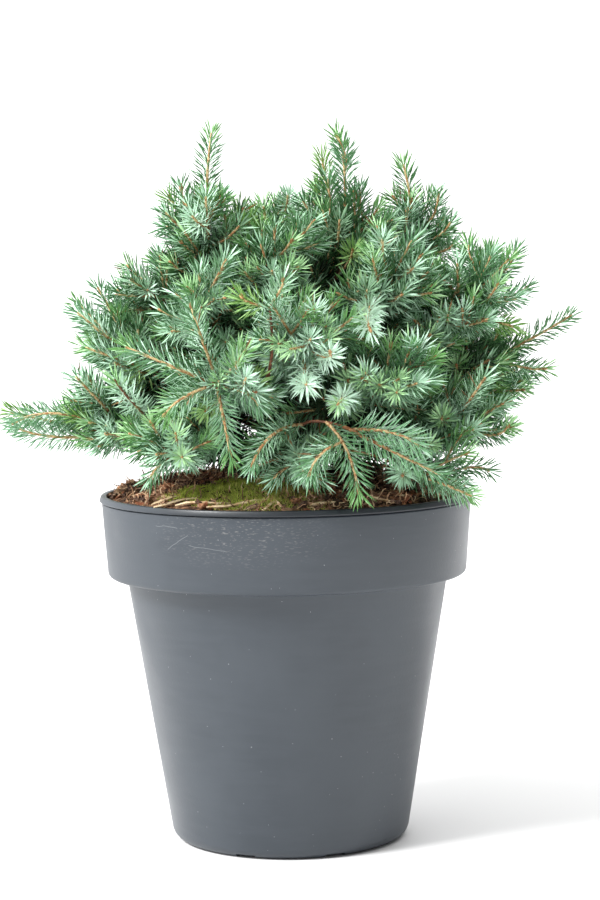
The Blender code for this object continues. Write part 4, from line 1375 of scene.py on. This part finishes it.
twig_looks = []
for name, colour, dark in (("twig_tan", (0.64, 0.45, 0.24), (0.40, 0.19, 0.08)),
                           ("twig_orange", (0.50, 0.24, 0.11), (0.25, 0.10, 0.04)),
                           ("twig_red_brown", (0.24, 0.095, 0.050), (0.11, 0.045, 0.025))):
    made, tree, shader, point = new_material(name, 0.7, 0.35)
    scars = place(tree, blotches, Vector=point, Scale=520.0, Detail=1.0, From=0.46, To=0.56)["Mask"]
    tree.links.new(mixed(tree, scars, colour, dark), shader.inputs["Base Color"])
    pegs = add(tree, "TexVoronoi", Vector=point, Scale=900.0).outputs["Distance"]
    raised(tree, shader, pegs, 0.6, 0.5 * MM)
    uneven_gloss(tree, shader, point, 300.0, 0.55, 0.8)
    twig_looks.append(made)
MASSES = [spray.name for spray in SPRAYS]
finished("twigs", mesh_of("twigs", points, triangles, looks, smooth=True), twig_looks, MASSES)

# %% [markdown]
# ### Needles
#
# A needle of this spruce is a stiff, three-sided blade about 12 mm long. It carries a pale blue wax bloom,
# but here only the side that faces the shoot's tip is given the pale bloom colour, partly a painted
# highlight, and the two others a darker green, partly painted shade. That is why a shoot seen from its end
# looks like a silver star, and one seen from the side looks greener. The needle is a three-sided cone whose
# base is poked and drawn down to the peg, and it bends a little inwards.

# %% One needle
SHOULDER = 0.60
INCURVE = 0.05
bm = bmesh.new()
seat = Matrix.Translation((0, 0, (1 + SHOULDER) / 2)) @ Matrix.Rotation(math.pi, 4, "Z")
bmesh.ops.create_cone(bm, segments=3, radius1=0.5, radius2=0, depth=1 - SHOULDER, cap_ends=True, matrix=seat)
cap = [face for face in bm.faces if abs(face.calc_center_median().z - SHOULDER) < 0.01]
foot = bmesh.ops.poke(bm, faces=cap)["verts"][0]
foot.co.z = 0
bmesh.ops.recalc_face_normals(bm, faces=bm.faces)
bm.normal_update()
for face in bm.faces:
    # Painted highlight and shade: the side that faces the tip takes the pale bloom colour, the other two the
    # darker green.
    face.material_index = 0 if face.normal.y > 0.5 else 1
needle = shape_of(bm)
print("one needle:", len(needle[1]), "triangles,", int((needle[2] == 0).sum()), "of them with bloom")

# %% [markdown]
# Needles spiral up each shoot at the golden turn, about three to the millimetre. They lean forward, more so
# near the tip, where they close into a tuft round the bud. Old wood near the trunk keeps few. Each needle's
# tone follows its shoot, with painted light and shade laid over it: needles deep inside the crown are
# painted dark green as painted shade, and the outermost, and those on the left where the light comes from,
# are painted paler as painted light. A few shoots end in fresh yellow-green, about half have a greener tip,
# and withered brown needles hang on inside.

# %% Stations along the shoots
NEEDLES_PER_MM = 2.9
FULL_UP_TO = 42
THINS_OVER = 16
FEWEST = 0.08
LONGEST_SHOOT = 150 * MM
BARE_FOOT = 2.5 * MM
spots = [0.2 * MM]
while spots[-1] < LONGEST_SHOOT:
    away = spots[-1] / MM
    kept_share = 1 if away < FULL_UP_TO else max(FEWEST, math.exp(-(away - FULL_UP_TO) / THINS_OVER))
    spots.append(spots[-1] + MM / (NEEDLES_PER_MM * kept_share))
spots = np.array(spots)

feet, axes, outs, away, shoot_number = [], [], [], [], []
for number, (line, distance) in enumerate(zip(lines, distances)):
    whole = distance[0]
    skip = bare_lengths.get(number, BARE_FOOT)
    here = spots[spots < whole - skip]
    if not len(here):
        continue
    climb = whole - distance
    tangent = unit(np.gradient(line, axis=0))
    at = whole - here
    foot = np.stack([np.interp(at, climb, line[:, k]) for k in range(3)], -1)
    axis = unit(np.stack([np.interp(at, climb, tangent[:, k]) for k in range(3)], -1))
    side = unit(np.cross(axis, (0, 0, 1) if abs(axis[0][2]) < 0.85 else (1, 0, 0)))
    angle = np.radians(GOLDEN_TURN * np.arange(len(here)) + chance.uniform(0, 360)
                       + chance.normal(0, 6, len(here)))[:, None]
    outs.append(side * np.cos(angle) + np.cross(axis, side) * np.sin(angle))
    feet.append(foot)
    axes.append(axis)
    away.append(here)
    shoot_number.append(np.full(len(here), number))
feet, axes, outs = np.concatenate(feet), np.concatenate(axes), np.concatenate(outs)
away, shoot_number = np.concatenate(away), np.concatenate(shoot_number)
print(len(feet), "needle stations")

# %% Needle directions, lengths and clearance
TUFT = 9 * MM
TIP_LEAN = 30
LEANS_FURTHER = 29
TIP_LENGTH = 11.6
GROWS_LONGER = 1.6
NEEDLE_GAP = 0.3 * MM
BARK_GAP = 0.2 * MM
count = len(feet)
past_tuft = 1 - np.exp(-away / TUFT)
lean = TIP_LEAN + LEANS_FURTHER * past_tuft + chance.normal(0, 5, count)
lean = np.radians(np.clip(lean, 2, 80))[:, None]
grow_way = unit(axes * np.cos(lean) + outs * np.sin(lean) + chance.normal(0, 0.035, (count, 3)))
vigour = chance.uniform(0.88, 1.08, len(shoots))
length = (TIP_LENGTH + GROWS_LONGER * past_tuft) * vigour[shoot_number]
length = length * chance.uniform(0.88, 1.1, count) * MM
faces_tip = unit(axes * np.sin(lean) - outs * np.cos(lean) + chance.normal(0, 0.22, (count, 3)))
tips = feet + grow_way * length[:, None]
middles = feet + grow_way * length[:, None] * 0.6
clear = (pot_room(tips) > NEEDLE_GAP) & (pot_room(middles) > NEEDLE_GAP)
clear &= (limb_room(tips) > BARK_GAP) & (limb_room(middles) > BARK_GAP)
print(int(clear.sum()), "needles kept,", int((~clear).sum()), "skipped")

# %% Tones dealt out by shoot
CROWN_MIDDLE = np.array((0, 0, 248)) * MM
CROWN_REACH = np.array((150, 118, 125)) * MM
MIDDLE_TONE = 2.35
YOUNG_SHARE = 0.030
YOUNG_LENGTH = 16 * MM
YOUNG_TONE = -2
TIP_SHARE = 0.5
GREEN_TIP = 7 * MM
WITHERED_SHARE = 0.003
WITHERED_INSIDE = 0.10
INSIDE = 0.45
SILVER, FRESH, WITHERED, TIP = 4, 5, 6, 7
depth = np.linalg.norm((feet - CROWN_MIDDLE) / CROWN_REACH, axis=1)
shoot_tone = np.array([shoot.tone for shoot in shoots])
shoot_lift = chance.normal(0, 0.45, len(shoots))
tone_value = MIDDLE_TONE + shoot_tone[shoot_number] + shoot_lift[shoot_number] + chance.normal(0, 0.5, count)
# Painted shade: needles deeper in the crown are dealt darker tones, those at its surface paler.
tone_value += np.clip((depth - 0.86) * 5.5, -3.4, 0.6)
# Painted light: needles on the left, where the light comes from, are dealt paler tones.
tone_value += np.clip(-(feet[:, 0] + 20 * MM) / (80 * MM), 0, 1.0)
tone_value -= np.clip((away - 22 * MM) / (25 * MM), 0, 0.8)
tone = np.clip(np.round(tone_value), 0, SILVER).astype(int)
young_green = (chance.uniform(0, 1, len(shoots)) < YOUNG_SHARE)[shoot_number] & (away < YOUNG_LENGTH)
young_green |= (shoot_tone <= YOUNG_TONE)[shoot_number]
tone = np.where(young_green, FRESH, tone)
growing = (chance.uniform(0, 1, len(shoots)) < TIP_SHARE)[shoot_number] & (away < GREEN_TIP) & (tone > 0)
tone = np.where(growing & ~young_green, TIP, tone)
withered = (chance.uniform(0, 1, count) < WITHERED_SHARE + WITHERED_INSIDE * (depth < INSIDE)) & ~young_green
tone = np.where(withered, WITHERED, tone)

# Each tone has the green of two sides of the needle, partly painted shade, and the bloom of the third,
# partly a painted highlight.
TONES = (
    ("shaded", (0.009, 0.027, 0.009), (0.028, 0.054, 0.025)),
    ("green", (0.044, 0.118, 0.040), (0.200, 0.350, 0.205)),
    ("sea", (0.065, 0.168, 0.064), (0.350, 0.575, 0.385)),
    ("blue", (0.092, 0.218, 0.094), (0.480, 0.730, 0.530)),
    ("silver", (0.135, 0.285, 0.150), (0.610, 0.840, 0.680)),
    ("fresh", (0.130, 0.270, 0.055), (0.310, 0.520, 0.190)),
    ("withered", (0.200, 0.095, 0.035), (0.330, 0.190, 0.090)),
    ("tip", (0.120, 0.285, 0.085), (0.390, 0.640, 0.330)),
)

# %% Joined needles, one piece for each tone
NEEDLE_WIDTH = 1.12 * MM
NEEDLE_DEPTH = 0.9 * MM
PIECE_LIMIT = 32000


def needle_material(name, colour):
    """A plain colour with a waxy gloss that isn't even."""
    made, tree, shader, point = new_material(name, 0.5, 0.25)
    shader.inputs["Base Color"].default_value = (*colour, 1)
    uneven_gloss(tree, shader, point, 500.0, 0.42, 0.6)
    return made


total = 0
for number, (name, green, bloom) in enumerate(TONES):
    chosen = np.flatnonzero(clear & (tone == number))
    # Each tone's pale bloom material is partly a painted highlight, and its green material partly painted
    # shade.
    materials = [needle_material(f"needle_{name}_bloom", bloom),
                 needle_material(f"needle_{name}_green", green)]
    for part, start in enumerate(range(0, len(chosen), PIECE_LIMIT)):
        some = chosen[start:start + PIECE_LIMIT]
        turns = turns_along(grow_way[some], faces_tip[some])
        across = np.full((len(some), 2), (NEEDLE_WIDTH, NEEDLE_DEPTH))
        sizes = np.column_stack([across, length[some]])
        points, triangles, looks = strewn(needle, feet[some], turns, sizes)
        bend = np.tile(needle[0][:, 2] ** 2 * INCURVE, len(some)) * np.repeat(length[some], len(needle[0]))
        points += np.repeat(turns[:, :, 1], len(needle[0]), axis=0) * bend[:, None]
        title = f"needles_{name}" + (f"_{part + 1}" if part else "")
        finished(title, mesh_of(title, points, triangles, looks), materials, MASSES)
        total += len(triangles)
print(total, "triangles of needles")

# %% [markdown]
# ### Buds
#
# A bud sits at the end of many shoots, half hidden in the last tuft. Each is a small pointed egg of
# papery orange-brown scales.

# %% Buds
BUDDING_SHARE = 0.4
bm = bmesh.new()
bmesh.ops.create_uvsphere(bm, u_segments=6, v_segments=5, radius=0.5)
for vert in bm.verts:
    if vert.co.z > 0:
        vert.co.z *= 1.4
        vert.co.xy *= 0.85
bud = shape_of(bm)
budding = [shoot for shoot in shoots if chance.uniform() < BUDDING_SHARE]
places = np.array([shoot.line[-1] for shoot in budding])
forward = np.array([shoot.line[-1] - shoot.line[-2] for shoot in budding])
turns = turns_along(forward, chance.normal(0, 1, (len(budding), 3)))
width = chance.uniform(1.7, 2.5, len(budding)) * MM
points, triangles, _ = strewn(bud, places, turns, np.stack([width, width, width * 1.5], -1))
bud_scales = plain_bark("bud_scales", (0.30, 0.13, 0.055), (0.52, 0.29, 0.14), 0.6)
finished("buds", mesh_of("buds", points, triangles, smooth=True), [bud_scales])
